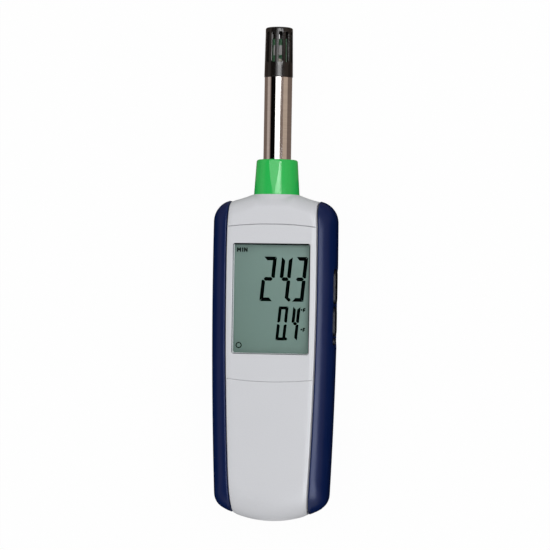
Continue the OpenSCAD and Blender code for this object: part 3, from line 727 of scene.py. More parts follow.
class Effects:
    """Shader groups that several finishes share."""

    def __init__(self) -> None:
        """Build each group once."""
        self.grain = self._grain()
        self.handling = self._handling()
        self.wear = self._wear()

    @staticmethod
    def _start(name: str, size: tuple[str, float], *results: str
               ) -> tuple[Tree, Socket, Socket, list[Socket]]:
        """Open a group that reads a place and one size.

        Args:
            name: Name of the group.
            size: Name and default of the size.
            results: Names of the numbers that it gives.

        Returns:
            The tree, its place, its size and the sockets of its results.
        """
        group = bpy.data.node_groups.new(name, "ShaderNodeTree")
        group.interface.new_socket(name="Place", in_out="INPUT", socket_type="NodeSocketVector")
        socket = group.interface.new_socket(name=size[0], in_out="INPUT", socket_type="NodeSocketFloat")
        socket.default_value = size[1]
        for label in results:
            group.interface.new_socket(name=label, in_out="OUTPUT", socket_type="NodeSocketFloat")
        tree = Tree(group)
        start, end = tree.add("NodeGroupInput"), tree.add("NodeGroupOutput")
        return tree, start.outputs["Place"], start.outputs[size[0]], [end.inputs[r] for r in results]

    def _grain(self) -> bpy.types.NodeTree:
        """Fine moulded grain: its height, and a faint change of tone that follows it.

        Returns:
            The group.
        """
        tree, place, scale, (height, tone) = self._start("moulded_grain", ("Scale", 900.0),
                                                         "Height", "Tone")
        fine = tree.noise(place, scale, 2.0, 0.6)
        cells = tree.node("ShaderNodeTexVoronoi", {"Vector": place, "Scale": tree.times(scale, 1.7)},
                          feature="SMOOTH_F1")
        tree.link(tree.plus(tree.times(fine, 0.6), tree.times(cells, 0.5)), height)
        tree.link(tree.spread(fine, 0.3, 0.7), tone)
        return tree.tree

    def _handling(self) -> bpy.types.NodeTree:
        """Soft patches left by handling: a mask, and a smear that runs along the object.

        Returns:
            The group.
        """
        tree, place, scale, (patches, smears) = self._start("handling_marks", ("Scale", SOFT_ANGLE),
                                                            "Patches", "Smears")
        squeezed = tree.node("ShaderNodeVectorMath", {0: place, 1: (6.0, 0.5, 6.0)},
                             operation="MULTIPLY")
        tree.link(tree.spread(tree.noise(place, scale, 4.0, 0.55), 0.35, 0.65), patches)
        tree.link(tree.spread(tree.noise(squeezed, scale, 3.0, 0.6), 0.45, 0.8), smears)
        return tree.tree

    def _wear(self) -> bpy.types.NodeTree:
        """Edges that rub first: a mask from the turn of the surface, broken up by noise.

        Returns:
            The group.
        """
        tree, place, amount, (mask,) = self._start("worn_edges", ("Amount", 0.5), "Mask")
        edge = tree.spread(tree.add("ShaderNodeNewGeometry").outputs["Pointiness"], 0.505, 0.56)
        broken = tree.spread(tree.noise(place, 420.0, 4.0, 0.65), 0.4, 0.68)
        tree.link(tree.times(tree.times(edge, broken), amount), mask)
        return tree.tree


EFFECTS = Effects()


class Material(Tree):
    """A material that ends in one Principled shader."""

    def __init__(self, name: str) -> None:
        """Start an empty material with its shader, output and object coordinates.

        Args:
            name: Name of the material.
        """
        self.material = bpy.data.materials.new(name)
        super().__init__(Tree.of(self.material).tree)
        self.shader = self.add("ShaderNodeBsdfPrincipled")
        self.show("ShaderNodeOutputMaterial", self.shader.outputs[0])
        self.place = self.add("ShaderNodeTexCoord").outputs["Object"]

    def effect(self, group: bpy.types.NodeTree, **values: float) -> bpy.types.Node:
        """Place a shared effect.

        Args:
            group: The effect.
            values: Its own values.

        Returns:
            The group's node.
        """
        node = self.add("ShaderNodeGroup", node_tree=group)
        for key, value in {"Place": self.place, **values}.items():
            self.feed(node.inputs[key], value)
        return node

    def set(self, **values: object) -> None:
        """Set or join the shader's sockets, with underscores for the spaces in their names.

        Args:
            values: What each socket gets; a tuple is a colour.
        """
        for key, value in values.items():
            self.feed(self.shader.inputs[key.replace("_", " ")],
                      (*value, 1.0) if isinstance(value, tuple) else value)

    def bump(self, height: Socket, strength: float, distance: float) -> None:
        """Let a height roughen the surface."""
        self.set(Normal=self.node("ShaderNodeBump", {"Strength": strength, "Distance": distance,
                                                     "Height": height}))


# Finishes.


@dataclass(frozen=True)
class Moulded:
    """Moulded plastic or rubber, with grain, handling marks and rubbed edges."""

    name: str
    colour: Colour
    worn: Colour
    roughness: float = 0.45
    grain_depth: float = 0.00002
    tone: float = 0.04
    wear: float = 0.4
    specular: float = 0.5
    coat: float = 0.0

    grain_scale: ClassVar[float] = 1400.0
    marks_scale: ClassVar[float] = 38.0

    def build(self) -> Skin:
        """Build the material.

        Returns:
            The material.
        """
        m = Material(self.name)
        grain = m.effect(EFFECTS.grain, Scale=self.grain_scale)
        patches = m.effect(EFFECTS.handling, Scale=self.marks_scale).outputs["Patches"]
        mask = m.effect(EFFECTS.wear, Amount=self.wear).outputs["Mask"]
        dark = tuple(c * (1 - self.tone) for c in self.colour)
        light = tuple(c * (1 + self.tone) for c in self.colour)
        base = m.mix(m.times(patches, self.tone), m.mix(grain.outputs["Tone"], dark, light), self.worn)
        rough = m.plus(self.roughness - 0.04, m.times(patches, 0.08))
        m.set(Base_Color=m.mix(mask, base, self.worn), Roughness=m.minus(rough, m.times(mask, 0.1)),
              Specular_IOR_Level=self.specular, Coat_Weight=self.coat, Coat_Roughness=0.12)
        m.bump(grain.outputs["Height"], 0.35, self.grain_depth)
        return m.material


@dataclass(frozen=True)
class Steel:
    """Metal with fine lines from turning or drawing."""

    name: str
    colour: Colour
    roughness: float

    line_scale: ClassVar[float] = 4000.0
    line_depth: ClassVar[float] = 0.000002
    marks_scale: ClassVar[float] = 60.0
    across: ClassVar[Triple] = (0.02, 1.0, 0.02)

    def build(self) -> Skin:
        """Build the material.

        Returns:
            The material.
        """
        m = Material(self.name)
        stretched = m.node("ShaderNodeMapping", {"Vector": m.place, "Scale": self.across})
        lines = m.noise(stretched, self.line_scale, 2.0, 0.7)
        smears = m.effect(EFFECTS.handling, Scale=self.marks_scale).outputs["Smears"]
        dull = tuple(c * 0.9 for c in self.colour)
        rough = m.plus(self.roughness, m.times(smears, 0.06))
        m.set(Base_Color=m.mix(m.spread(lines, 0.35, 0.65), dull, self.colour), Metallic=1.0,
              Roughness=m.plus(rough, m.times(lines, 0.04)))
        m.bump(lines, 0.3, self.line_depth)
        return m.material


@dataclass(frozen=True)
class ClearLens:
    """The clear window, which lets the studio light through to the display."""

    name: str = "clear_lens"
    tint: Colour = (0.97, 0.985, 0.98)
    index: float = 1.46
    shadow_share: float = 0.92

    def build(self) -> Skin:
        """Build the material.

        Returns:
            The material.
        """
        m = Material(self.name)
        shadow = m.add("ShaderNodeLightPath").outputs["Is Shadow Ray"]
        smears = m.effect(EFFECTS.handling, Scale=90.0).outputs["Smears"]
        m.set(Base_Color=self.tint, Transmission_Weight=1.0, IOR=self.index,
              Roughness=m.times(smears, 0.03), Alpha=m.minus(1.0, m.times(shadow, self.shadow_share)))
        return m.material


@dataclass(frozen=True)
class DisplayGlass:
    """The reflective display: grey-green, with painted shade that darkens it towards its lower left
    corner.
    """

    name: str = "display_glass"
    # light is the display's lit tone and dark its tone under the painted shade
    light: Colour = srgb(109, 131, 124)
    dark: Colour = srgb(88, 111, 102)
    shade_reach_x: Pair = (-0.02, 0.02)
    shade_reach_y: Pair = (-0.045, 0.02)

    def build(self) -> Skin:
        """Build the material.

        Returns:
            The material.
        """
        m = Material(self.name)
        x, y, _ = m.split(m.place)
        # painted shade: the display's tone goes from light to dark towards its lower left corner
        corner = m.times(m.plus(m.spread(x, *self.shade_reach_x), m.spread(y, *self.shade_reach_y)), 0.5)
        speckle = m.noise(m.place, 6000.0, 1.0)
        tone = m.plus(corner, m.times(m.minus(speckle, 0.5), 0.12))
        m.set(Base_Color=m.mix(tone, self.dark, self.light), Roughness=0.5, Specular_IOR_Level=0.3)
        m.bump(speckle, 0.1, 0.000005)
        return m.material


@dataclass(frozen=True)
class CircuitBoard:
    """Solder mask over copper tracks."""

    name: str = "circuit_board"
    mask: Colour = srgb(24, 92, 50)
    track: Colour = srgb(40, 120, 66)

    def build(self) -> Skin:
        """Build the material.

        Returns:
            The material.
        """
        m = Material(self.name)
        cells = m.add("ShaderNodeTexBrick", offset=0.35, squash=1.0)
        for key, value in (("Vector", m.place), ("Scale", 260.0), ("Mortar Size", 0.03)):
            m.feed(cells.inputs[key], value)
        tracks = cells.outputs["Fac"]
        m.set(Base_Color=m.mix(tracks, self.mask, self.track), Roughness=0.35)
        m.bump(tracks, 0.2, 0.00002)
        return m.material


FINISHES = (
    Moulded("case_grey", srgb(209, 210, 214), srgb(222, 223, 227), 0.42, tone=0.012, wear=0.3,
            specular=0.35),
    Moulded("grip_navy", srgb(4, 25, 72), srgb(26, 46, 98), 0.32, grain_depth=0.00003, tone=0.05,
            wear=0.2, specular=0.24),
    Moulded("collar_green", srgb(42, 189, 84), srgb(90, 210, 126), 0.14, grain_depth=0.000004,
            tone=0.03, wear=0.15),
    Moulded("key_black", srgb(9, 10, 15), srgb(34, 35, 42), 0.4, specular=0.3),
    Moulded("cap_black", srgb(18, 15, 13), srgb(60, 58, 56), 0.2, grain_depth=0.000006, wear=0.25),
    Moulded("black_plastic", srgb(28, 29, 31), srgb(60, 61, 64)),
    Moulded("zebra_rubber", srgb(40, 40, 42), srgb(70, 70, 72), 0.8),
    # painted shadow: the dark green-black of the strip under the lens, where the bezel shades the
    # display
    Moulded("painted_shadow_black", srgb(14, 24, 22), srgb(20, 30, 28), 0.7, wear=0.0, specular=0.1),
    Moulded("chip_black", srgb(26, 27, 29), srgb(70, 70, 72), 0.55),
    Moulded("ceramic", srgb(222, 216, 200), srgb(240, 236, 226), 0.6),
    Moulded("wire_red", srgb(170, 44, 36), srgb(200, 90, 80), 0.4),
    Moulded("connector_white", srgb(224, 219, 202), srgb(240, 236, 226), 0.5),
    Moulded("battery_wrap", srgb(48, 51, 58), srgb(110, 112, 118), 0.3, coat=0.2),
    Steel("bright_steel", (0.85, 0.83, 0.81), 0.04),
    Steel("screw_steel", (0.55, 0.55, 0.57), 0.28),
    Steel("switch_metal", (0.5, 0.5, 0.52), 0.35),
    # the sensor's metal is dark grey, darker than bright silver, so that it looks dark behind the cap's
    # slots
    Steel("sensor_silver", (0.3, 0.3, 0.29), 0.45),
    CircuitBoard(),
    ClearLens(),
    DisplayGlass(),
    Moulded("lcd_ink", srgb(2, 5, 5), srgb(5, 9, 9), 0.6, tone=0.1, wear=0.0, specular=0.0),
)


class Finishes:
    """Every finish of the object, built once and found by name."""

    def __init__(self) -> None:
        """Build the materials."""
        self.built = {finish.name: finish.build() for finish in FINISHES}

    def __getitem__(self, name: str) -> Skin:
        """Find a finish."""
        return self.built[name]


# The case.

END_FLAT = 0.005
ROUND_STEPS = 10
EDGE_STEPS = np.array([0.0, 0.035, 0.12, 0.27, 0.5])
EDGE_END = EDGE_STEPS[-1]


def edge_columns(inner: Array) -> Row:
    """Spread columns over a width, close together at both edges.

    Args:
        inner: The columns between the close ones, as shares of the middle stretch.

    Returns:
        For each column its side (-1, 0 or 1), its distance from that edge, and its share.
    """
    n, m = len(EDGE_STEPS), len(inner)
    return (np.concatenate([-np.ones(n), np.zeros(m), np.ones(n)]),
            np.concatenate([EDGE_STEPS, np.zeros(m), EDGE_STEPS[::-1]]),
            np.concatenate([np.zeros(n), inner, np.zeros(n)]))


def between_ends(low: float, high: float, count: int) -> Array:
    """Even steps between two numbers, which are left out themselves."""
    return np.linspace(low, high, count + 2)[1:-1]


def steps_to(start: Array, end: Array, count: int) -> list[Array]:
    """Even steps from one row of distances to another, the first left out."""
    return [start + (end - start) * t for t in np.linspace(0, 1, count + 1)[1:]]


@dataclass
class Rows:
    """Rows of a face: x, y and level of every column, the row's height on a wall, and its sink."""

    places: list[Row] = field(default_factory=list)
    heights: list[float] = field(default_factory=list)
    sinks: list[float] = field(default_factory=list)

    def add(self, row: Row, sink: float = 0.0, height: float = math.nan) -> None:
        """Add one row.

        Args:
            row: x, y and level of every column.
            sink: How far it lies below the form because of a rounded end.
            height: Its height on the upright wall, left out on the rounding.
        """
        self.places.append(row)
        self.sinks.append(float(sink))
        self.heights.append(height)

    def add_back(self, other: "Rows") -> None:
        """Add another face's rows from the last to the first.

        Args:
            other: The other rows.
        """
        self.places += other.places[::-1]
        self.heights += other.heights[::-1]
        self.sinks += other.sinks[::-1]


@dataclass
class Face:
    """A stretch of the form's front or back, as rows along the case and columns across it."""

    side: Side
    columns: Row
    half_width: Callable[[Array], Array]
    edge_radius: float = 0.5

    def x_at(self, y: Array) -> Array:
        """Place every column across the face.

        Args:
            y: Its distance from the foot.

        Returns:
            Its x.
        """
        sides, steps, shares = self.columns
        reach = self.half_width(y)
        return np.where(sides != 0, sides * (reach - steps), shares * (reach - EDGE_END))

    def along(self, y: Array) -> Row:
        """One row at given distances from the foot: x, y and level of every column."""
        x = self.x_at(y)
        return x, y, FORM.level_of(x, y, self.side)

    def across(self, level: Array, at_top: bool = False) -> Row:
        """One row that crosses the foot's or the shoulders' rounding at a level."""
        return *FORM.cross(self.x_at, level, self.side, at_top), level

    def solid(self, rows: Rows, thickness: float, relief: PlaceRule | None = None,
              keep: PlaceRule | None = None) -> Shape:
        """Give the rows a thickness.

        Args:
            rows: The face's rows.
            thickness: Thickness of the solid.
            relief: Extra depth at a place, for grooves and recesses.
            keep: Which cells are there, from their middle x and y.

        Returns:
            The closed shape.
        """
        x, y, level = (np.array([r[i] for r in rows.places]) for i in range(3))
        normal = FORM.normal(x, y, level, self.side)
        z = FORM.with_neck(x, y, FORM.level_z(level, self.side), self.side)
        fixed = np.array(rows.heights)[:, None]
        z = np.where(np.isnan(fixed), z, fixed)
        sides, steps, _ = self.columns
        edges = np.where(sides != 0, fillet_sink(steps, self.edge_radius), 0.0)
        sink = np.maximum(edges[None, :], np.array(rows.sinks)[:, None])
        if relief is not None:
            sink = sink + relief(x, y)
        surface = np.stack([x, y, z], -1)
        mask = None
        if keep is not None:
            mid = (surface[:-1, :-1] + surface[1:, :-1] + surface[:-1, 1:] + surface[1:, 1:]) / 4
            mask = keep(mid[..., 0], mid[..., 1])
        return plate(surface - normal * sink[..., None], surface - normal * thickness, mask)


@dataclass
class BackFace(Face):
    """The back, whose columns over the battery door stay straight."""

    door_hw: float = 18.8

    def x_at(self, y: Array) -> Array:
        """Place every column across the back.

        Args:
            y: Its distance from the foot.

        Returns:
            Its x, where a share past 1 lies between the door and the edge.
        """
        sides, steps, shares = self.columns
        reach = self.half_width(y)
        beside = np.sign(shares) * (self.door_hw
                                    + (np.abs(shares) - 1) * (reach - EDGE_END - self.door_hw))
        return np.where(sides != 0, sides * (reach - steps),
                        np.where(np.abs(shares) > 1, beside, shares * self.door_hw))


@dataclass
class Case:
    """The grey front and rear shells with the groove between them and the grips.

    A wall gives the insets of a shell's outside and inside, and the depth of its inside. A bay gives
    the half width, the ends and the heights of a block round the battery.
    """

    finishes: Finishes
    panel_y: Pair = (71.9, 151.8)
    panel_bow: float = 1.5
    panel_gap: Pair = (0.07, 0.2)
    panel_rows: tuple[int, int] = (60, 10)
    front_columns: int = 56
    round_rows: int = 18
    shoulder_rows: int = 14
    foot_turn_y: float = 26.0
    top_turn: float = 12.0
    seam_gap: float = 0.05
    seam_radius: float = 0.2
    seam_steps: tuple[float, ...] = (0.0, 0.05, 0.12, 0.3)
    end_radius: float = 0.3
    face_depth: float = 2.4
    door_hw: float = 18.8
    door_y1: float = 64.3
    door_foot_z: float = 8.3
    door_columns: tuple[int, int] = (49, 3)
    back_rows: tuple[int, int] = (40, 60)
    screw_r: float = 2.6
    screw_hole_z: Pair = (-1.0, 3.4)
    screw_x: float = 18.6
    screw_y: Pair = (69.8, 156.2)
    window_hw: float = 19.4
    window_y: Pair = (86.3, 141.6)
    window_r: float = 1.0
    window_cut_z: Pair = (20.0, 32.0)
    strip_w: float = 2.2
    strip_depth: float = 0.3
    front_wall: Triple = (1.9, 3.5, 3.4)
    rear_wall: Triple = (2.3, 3.5, 3.5)
    core_columns: int = 110
    core_levels: int = 12
    bay_outside: tuple[float, ...] = (14.6, 7.4, 63.0, 2.9, 22.1)
    bay_inside: tuple[float, ...] = (13.4, 8.6, 61.8, -1.0, 20.9)

    def edge(self, y: Array) -> Array:
        """Half width of the grey faces, less half of the groove."""
        return FORM.panel_edge(y) - FORM.groove / 2

    def panel_end(self, x: Array | float, upper: bool) -> Array:
        """Bowed end of the display panel at a place across it."""
        bow = self.panel_bow * (x / (FORM.half_w - FORM.grip_front)) ** 2
        return self.panel_y[1] - bow if upper else self.panel_y[0] + bow

    def edge_relief(self, x: Array, y: Array) -> Array:
        """Depth of the flat strips beside the grips, which lean outwards a little."""
        reach = np.clip(1 - (self.edge(y) - np.abs(x)) / self.strip_w, 0, 1)
        return self.strip_depth * reach * (3 - reach) / 2

    def front_face(self, upper: bool) -> Shape:
        """Make the grey front below or above the display panel.

        Args:
            upper: Whether this is the stretch above the panel.

        Returns:
            The closed shape.
        """
        face = Face(Side.FRONT, edge_columns(between_ends(-1, 1, self.front_columns)), self.edge)
        rows = self._rounding(face, upper, self.round_rows)
        start_y = rows.places[-1][1]
        gap, sign = self.panel_gap[upper], 1 if upper else -1
        target = self.panel_end(face.x_at(np.full_like(start_y, self.panel_y[upper])), upper)
        for y in steps_to(start_y, target + sign * (gap + EDGE_END), self.panel_rows[upper]):
            rows.add(face.along(y))
        for step in EDGE_STEPS[-2::-1]:
            rows.add(face.along(target + sign * (gap + step)), fillet_sink(step, self.end_radius))
        return face.solid(rows, self.face_depth, self.edge_relief)

    def _rounding(self, face: Face, upper: bool, count: int) -> Rows:
        """Go from the parting line up the wall and round to the face.

        Args:
            face: The stretch whose rows are made.
            upper: Whether the rows start at the shoulders and not at the foot.
            count: How many steps the rounding has.

        Returns:
            The rows.
        """
        right = np.full(len(face.columns[0]), RIGHT)
        sign = face.side.value
        seam = FORM.split_z + sign * self.seam_gap
        wall = face.across(right, upper)
        rows = Rows()
        for step in self.seam_steps:
            rows.add(wall, fillet_sink(step, self.seam_radius), seam + sign * step)
        rows.add(wall, height=(seam + float(FORM.level_z(RIGHT, face.side))) / 2)
        turn = np.full(len(right), FORM.length - self.top_turn if upper else self.foot_turn_y)
        low = face.along(turn)[2]
        for k in range(count + 1):
            rows.add(face.across(right + (low - right) * k / count, upper))
        return rows

    def back_face(self) -> Shape:
        """Make the grey back, with the opening for the battery door.

        Returns:
            The closed shape.
        """
        middle, beside = self.door_columns
        outer = between_ends(0, 1, beside)
        shares = np.concatenate([-2 + outer, np.linspace(-1, 1, middle), 1 + outer])
        face = BackFace(Side.BACK, edge_columns(shares), self.edge, door_hw=self.door_hw)
        rows = self._rounding(face, False, self.round_rows)
        door_level = math.acos(1 - self.door_foot_z / FORM.round_z[1])
        levels = [float(row[2][len(row[2]) // 2]) for row in rows.places]
        door_row = int(np.argmin([abs(v - door_level) for v in levels]))
        rows.places[door_row] = face.across(np.full(len(face.columns[0]), door_level))
        start_y = rows.places[-1][1]
        door_end = np.full_like(start_y, self.door_y1)
        above = self._rounding(face, True, self.shoulder_rows)
        for y in (steps_to(start_y, door_end, self.back_rows[0])
                  + steps_to(door_end, above.places[-1][1], self.back_rows[1])[:-1]):
            rows.add(face.along(y))
        rows.add_back(above)

        def keep_cells(x: Array, y: Array) -> Array:
            """Tell which cells are there.

            Args:
                x, y: Middles of the cells.

            Returns:
                Whether each lies outside the door's opening.
            """
            inside = (np.abs(x) < self.door_hw) & (y < self.door_y1)
            inside[:door_row] = False
            return ~inside

        return face.solid(rows, self.face_depth, keep=keep_cells)

    def core(self, side: Side, outer_inset: float, inner_inset: float, inner_depth: float) -> Shape:
        """Make the shell's wall under the faces and grips, as two nested halves of the form.

        Args:
            side: Front or back.
            outer_inset: How far its outside is drawn in.
            inner_inset: How far its inside is drawn in.
            inner_depth: How deep the inside of its front or back face lies.

        Returns:
            The closed shape.
        """
        index = np.linspace(0, len(FORM.points) - 1, self.core_columns)
        seam = FORM.split_z + side.value * self.seam_gap

        def rings(inset: float, depth: float) -> list[Array]:
            """Draw a half of the form level by level, down to the seam.

            Args:
                inset: How far it is drawn in.
                depth: How deep its face lies.

            Returns:
                Its rings.
            """
            found = []
            for level in np.linspace(0, RIGHT, self.core_levels):
                half = FORM.ring_point(index, np.full_like(index, level), side, inset, depth)
                found.append(np.concatenate([half, (half * [-1, 1, 1])[-1:0:-1]]))
            last = found[-1].copy()
            last[:, 2] = seam
            return found + [last]

        return loft(rings(outer_inset, outer_inset) + rings(inner_inset, inner_depth)[::-1])

    def build(self) -> None:
        """Make both shells."""
        front = self.front_face(False).plus(self.front_face(True))
        front_core = make_object("front_core", self.core(Side.FRONT, *self.front_wall))
        low, high = self.window_y
        window = rounded_rect(self.window_hw, (high - low) / 2, self.window_r)
        cut(front_core, loft([np.column_stack([window[:, 0], window[:, 1] + (low + high) / 2,
                                               np.full(len(window), z)]) for z in self.window_cut_z]))
        self._join("front_shell", make_object("face", front), front_core)

        bay = block(-self.bay_outside[0], *self.bay_outside)
        rear_core = make_object("rear_core", self.core(Side.BACK, *self.rear_wall).plus(bay))
        cut(rear_core, block(-self.bay_inside[0], *self.bay_inside))
        rear = make_object("rear_face", self.back_face())
        for obj in (rear, rear_core):
            cut(obj, self.screw_holes())
        self._join("rear_shell", rear, rear_core)

    def screw_holes(self) -> Shape:
        """Make four round cutters for the screws' recesses.

        Returns:
            The cutters as one shape.
        """
        holes = [loft([ring(self.screw_r, z, x, y) for z in self.screw_hole_z])
                 for x in (-self.screw_x, self.screw_x) for y in self.screw_y]
        return holes[0].plus(holes[1]).plus(holes[2]).plus(holes[3])

    def _join(self, node: str, face: Object, core: Object) -> None:
        """Join a face and its core into the one moulding that they are.

        Args:
            node: The shell that they replace.
            face: The grey face.
            core: The wall under it.
        """
        mesh = bpy.data.meshes.new(node + "_moulding")
        bm = bmesh.new()
        for part in (face, core):
            bm.from_mesh(part.data)
            bpy.data.objects.remove(part)
        bm.to_mesh(mesh)
        bm.free()
        shade(mesh, PLAIN_ANGLE)
        mesh.materials.append(self.finishes["case_grey"])
        settle(new_object(node + "_moulding", mesh), Body.CASE, "case_grey", node)


@dataclass
class Grip:
    """A side grip, which wraps from the front round the side to the back."""

    finishes: Finishes
    right: bool
    thickness: float = 1.8
    lip: float = 0.55
    far: float = 9.0
    row_count: int = 110
    search: tuple[int, int] = (200, 150)
    fine: tuple[int, int] = (40, 11)
    coarse: tuple[int, int] = (22, 2)
    pocket_y: Pair = (89.1, 131.0)
    pocket_z: Pair = (7.0, 23.0)
    pocket_floor: float = 30.7
    pocket_corner: float = 5.0
    pocket_slope: float = 3.0
    pocket_blend: float = 0.35
    pocket_rim: float = 0.3
    pocket_reach: float = 3.0
    pocket_margin: float = 2.5
    pocket_step: float = 0.36

    @property
    def lip_steps(self) -> Array:
        """Distances from the grip's edge, close together over its rounded lip."""
        return EDGE_STEPS * self.lip / EDGE_END

    @staticmethod
    def _reach(points: Array) -> Array:
        """How far points lie outside the groove's edge."""
        return points[..., 0] - FORM.panel_edge(points[..., 1]) - FORM.groove / 2

    def _limits(self, index: Array, side: Side, distance: float) -> Array:
        """Find the level at which the line up from each place reaches the groove.

        Args:
            index: Places on the dense outline.
            side: Front or back.
            distance: Distance that is kept from the groove's edge.

        Returns:
            The level's angle for each place.
        """
        low, high = np.zeros_like(index), np.full_like(index, RIGHT)
        for _ in range(HALVINGS):
            mid = (low + high) / 2
            p = FORM.ring_point(index, mid, side, proud=-FORM.grip_proud)
            outside = p[..., 0] >= FORM.panel_edge(p[..., 1]) + FORM.groove / 2 + distance
            high, low = np.where(outside, mid, high), np.where(outside, low, mid)
        return high

    def _rows(self) -> Array:
        """Spread places along the outline, close together at the ends and round the pocket.

        Returns:
            The places on the dense outline.
        """
        points, reach = FORM.points, self._reach(FORM.points)
        inside = np.flatnonzero(reach > 0)
        first, last = inside[0], inside[-1]
        steps = np.arange(len(points))
        foot = slice(first - 1, first + self.search[0])
        top = slice(last + 1, last - self.search[1] - 1, -1)
        start = np.interp(self.lip_steps, reach[foot], steps[foot])
        end = np.interp(self.lip_steps, reach[top], steps[top])[::-1]
        length = np.concatenate([[0], np.cumsum(np.linalg.norm(np.diff(points, axis=0), axis=1))])
        a, b = (float(np.interp(v, steps, length)) for v in (start[-1], end[0]))
        marks = list(np.linspace(a, b, self.row_count)[1:-1])
        if self.right:
            low, high = (float(np.interp(y, points[:, 1], length)) for y in
                         (self.pocket_y[0] - self.pocket_margin, self.pocket_y[1] + self.pocket_margin))
            marks = [m for m in marks if not low < m < high] \
                + list(np.arange(low, high, self.pocket_step))
        return np.concatenate([start, np.interp(sorted(marks), length, steps), end])

    def _levels(self, index: Array) -> list[tuple[Side, Array, Array | None, float]]:
        """Spread columns across the grip, finer on the side with the pocket.

        Args:
            index: Places on the dense outline.

        Returns:
            Each column's side, levels, height on the wall and distance from the groove.
        """
        count, wall = self.fine if self.right else self.coarse
        right = np.full_like(index, RIGHT)
        columns: list[tuple[Side, Array, Array | None, float]] = []
        for side in Side:
            found = [(side, self._limits(index, side, float(step)), None, float(step))
                     for step in self.lip_steps]
            found += [(side, level, None, self.far) for level in steps_to(found[-1][1], RIGHT, count)]
            if side is Side.FRONT:
                top, bottom = (float(FORM.level_z(np.array(RIGHT), s)) for s in Side)
                found += [(side, right, np.full_like(index, z), self.far)
                          for z in between_ends(top, bottom, wall)]
            columns += found if side is Side.FRONT else found[::-1]
        return columns

    def _pocket(self, outer: Array) -> Array:
        """Press the key pocket into the grip's outside, with a soft rim.

        Args:
            outer: Points of the outside.

        Returns:
            The points with the pocket in them.
        """
        x, y, z = outer[..., 0], outer[..., 1], outer[..., 2]
        dy, dz = (np.abs(v - sum(size) / 2) - (size[1] - size[0]) / 2 + self.pocket_corner
                  for v, size in ((y, self.pocket_y), (z, self.pocket_z)))
        distance = np.hypot(np.maximum(dy, 0), np.maximum(dz, 0)) + np.minimum(np.maximum(dy, dz), 0) \
            - self.pocket_corner
        limit = self.pocket_floor + np.maximum(distance + self.pocket_rim, 0) * self.pocket_slope
        k = self.pocket_blend
        blend = np.clip(0.5 + 0.5 * (limit - x) / k, 0, 1)
        pressed = limit * (1 - blend) + x * blend - k * blend * (1 - blend)
        shaped = outer.copy()
        shaped[..., 0] = np.where(distance < self.pocket_reach, np.minimum(pressed, x), x)
        return shaped

    def shape(self) -> Shape:
        """Make the grip as a closed solid.

        Returns:
            The closed shape, on the side that the grip belongs to.
        """
        index = self._rows()
        end_distance = self._reach(FORM.ring_point(index, np.full_like(index, RIGHT), Side.FRONT,
                                                   proud=-FORM.grip_proud))
        outer, inner = [], []
        for side, level, height, step in self._levels(index):
            p = FORM.ring_point(index, level, side, proud=-FORM.grip_proud)
            if height is not None:
                p[..., 2] = height
            n = FORM.normal(p[..., 0], p[..., 1], level, side, -FORM.grip_proud)
            sink = fillet_sink(np.minimum(step, end_distance), self.lip)
            outer.append(p - n * sink[:, None])
            inner.append(p - n * self.thickness)
        if self.right:
            return plate(self._pocket(np.array(outer)), np.array(inner))
        return plate(np.array(outer) * [-1, 1, 1], np.array(inner) * [-1, 1, 1])

    def build(self, keys: "Keys") -> None:
        """Make the grip.

        Args:
            keys: The keys, whose openings the right grip gets.
        """
        name = "right_grip" if self.right else "left_grip"
        obj = make_object(name + "_moulding", self.shape(), self.finishes["grip_navy"], SOFT_ANGLE)
        for place in keys.places if self.right else ():
            cut(obj, keys.hole(place), SOFT_ANGLE)
        settle(obj, Body.CASE, "grip_navy", name)


@dataclass(frozen=True)
class KeyPlace:
    """One side key: its body, which its node is named after, and its stretch along the case."""

    body: Body
    y0: float
    length: float
    width: float

    @property
    def middle(self) -> float:
        """Distance of its middle from the foot."""
        return self.y0 + self.length / 2


@dataclass
class Keys:
    """The two long keys and the round one in the right grip's pocket."""

    finishes: Finishes
    gap: float = 0.3
    round_x: float = 0.6
    round_in: float = 1.6
    root_x: float = 28.0
    hole_x: Pair = (27.0, 36.0)
    flange_x: Pair = (27.2, 28.1)
    flange_out: float = 0.4
    places: tuple[KeyPlace, ...] = (
        KeyPlace(Body.UPPER_KEY, 111.6, 17.9, 7.0),
        KeyPlace(Body.LOWER_KEY, 95.2, 15.0, 7.0),
        KeyPlace(Body.POWER_KEY, 90.6, 3.6, 3.6),
    )

    @staticmethod
    def bar(place: KeyPlace, x: float, inset: float) -> Array:
        """Draw one section of a key across the case.

        Args:
            place: The key.
            x: Where the section lies.
            inset: How far it is drawn in.

        Returns:
            Its points.
        """
        half_l, half_w = place.length / 2 - inset, place.width / 2 - inset
        line = rounded_rect(half_l, half_w, min(half_l, half_w) - END_FLAT, ROUND_STEPS)
        return np.column_stack([np.full(len(line), x), line[:, 0] + place.y0 + place.length / 2,
                                line[:, 1] + FORM.axis_z])

    def hole(self, place: KeyPlace) -> Shape:
        """The cutter for a key's opening."""
        return loft([self.bar(place, x, -self.gap) for x in self.hole_x])

    def build(self) -> None:
        """Make the keys, each on its own body, with their faces level with the grip's outline."""
        for place in self.places:
            face = FORM.half_w - FORM.side_r \
                + math.sqrt(FORM.side_r ** 2 - (place.middle - FORM.widest_y) ** 2)
            rings = [self.bar(place, self.root_x, 0.0)]
            rings += [self.bar(place, face - self.round_x * (1 - math.sin(a)),
                               self.round_in * (1 - math.cos(a)))
                      for a in np.linspace(0, RIGHT, ROUND_STEPS)]
            flange = [self.bar(place, x, -self.flange_out) for x in self.flange_x]
            node = place.body.value
            obj = make_object(node + "_moulding", loft(rings).plus(loft(flange)),
                              self.finishes["key_black"], SOFT_ANGLE)
            settle(obj, place.body, "key_black", node)


# The display.


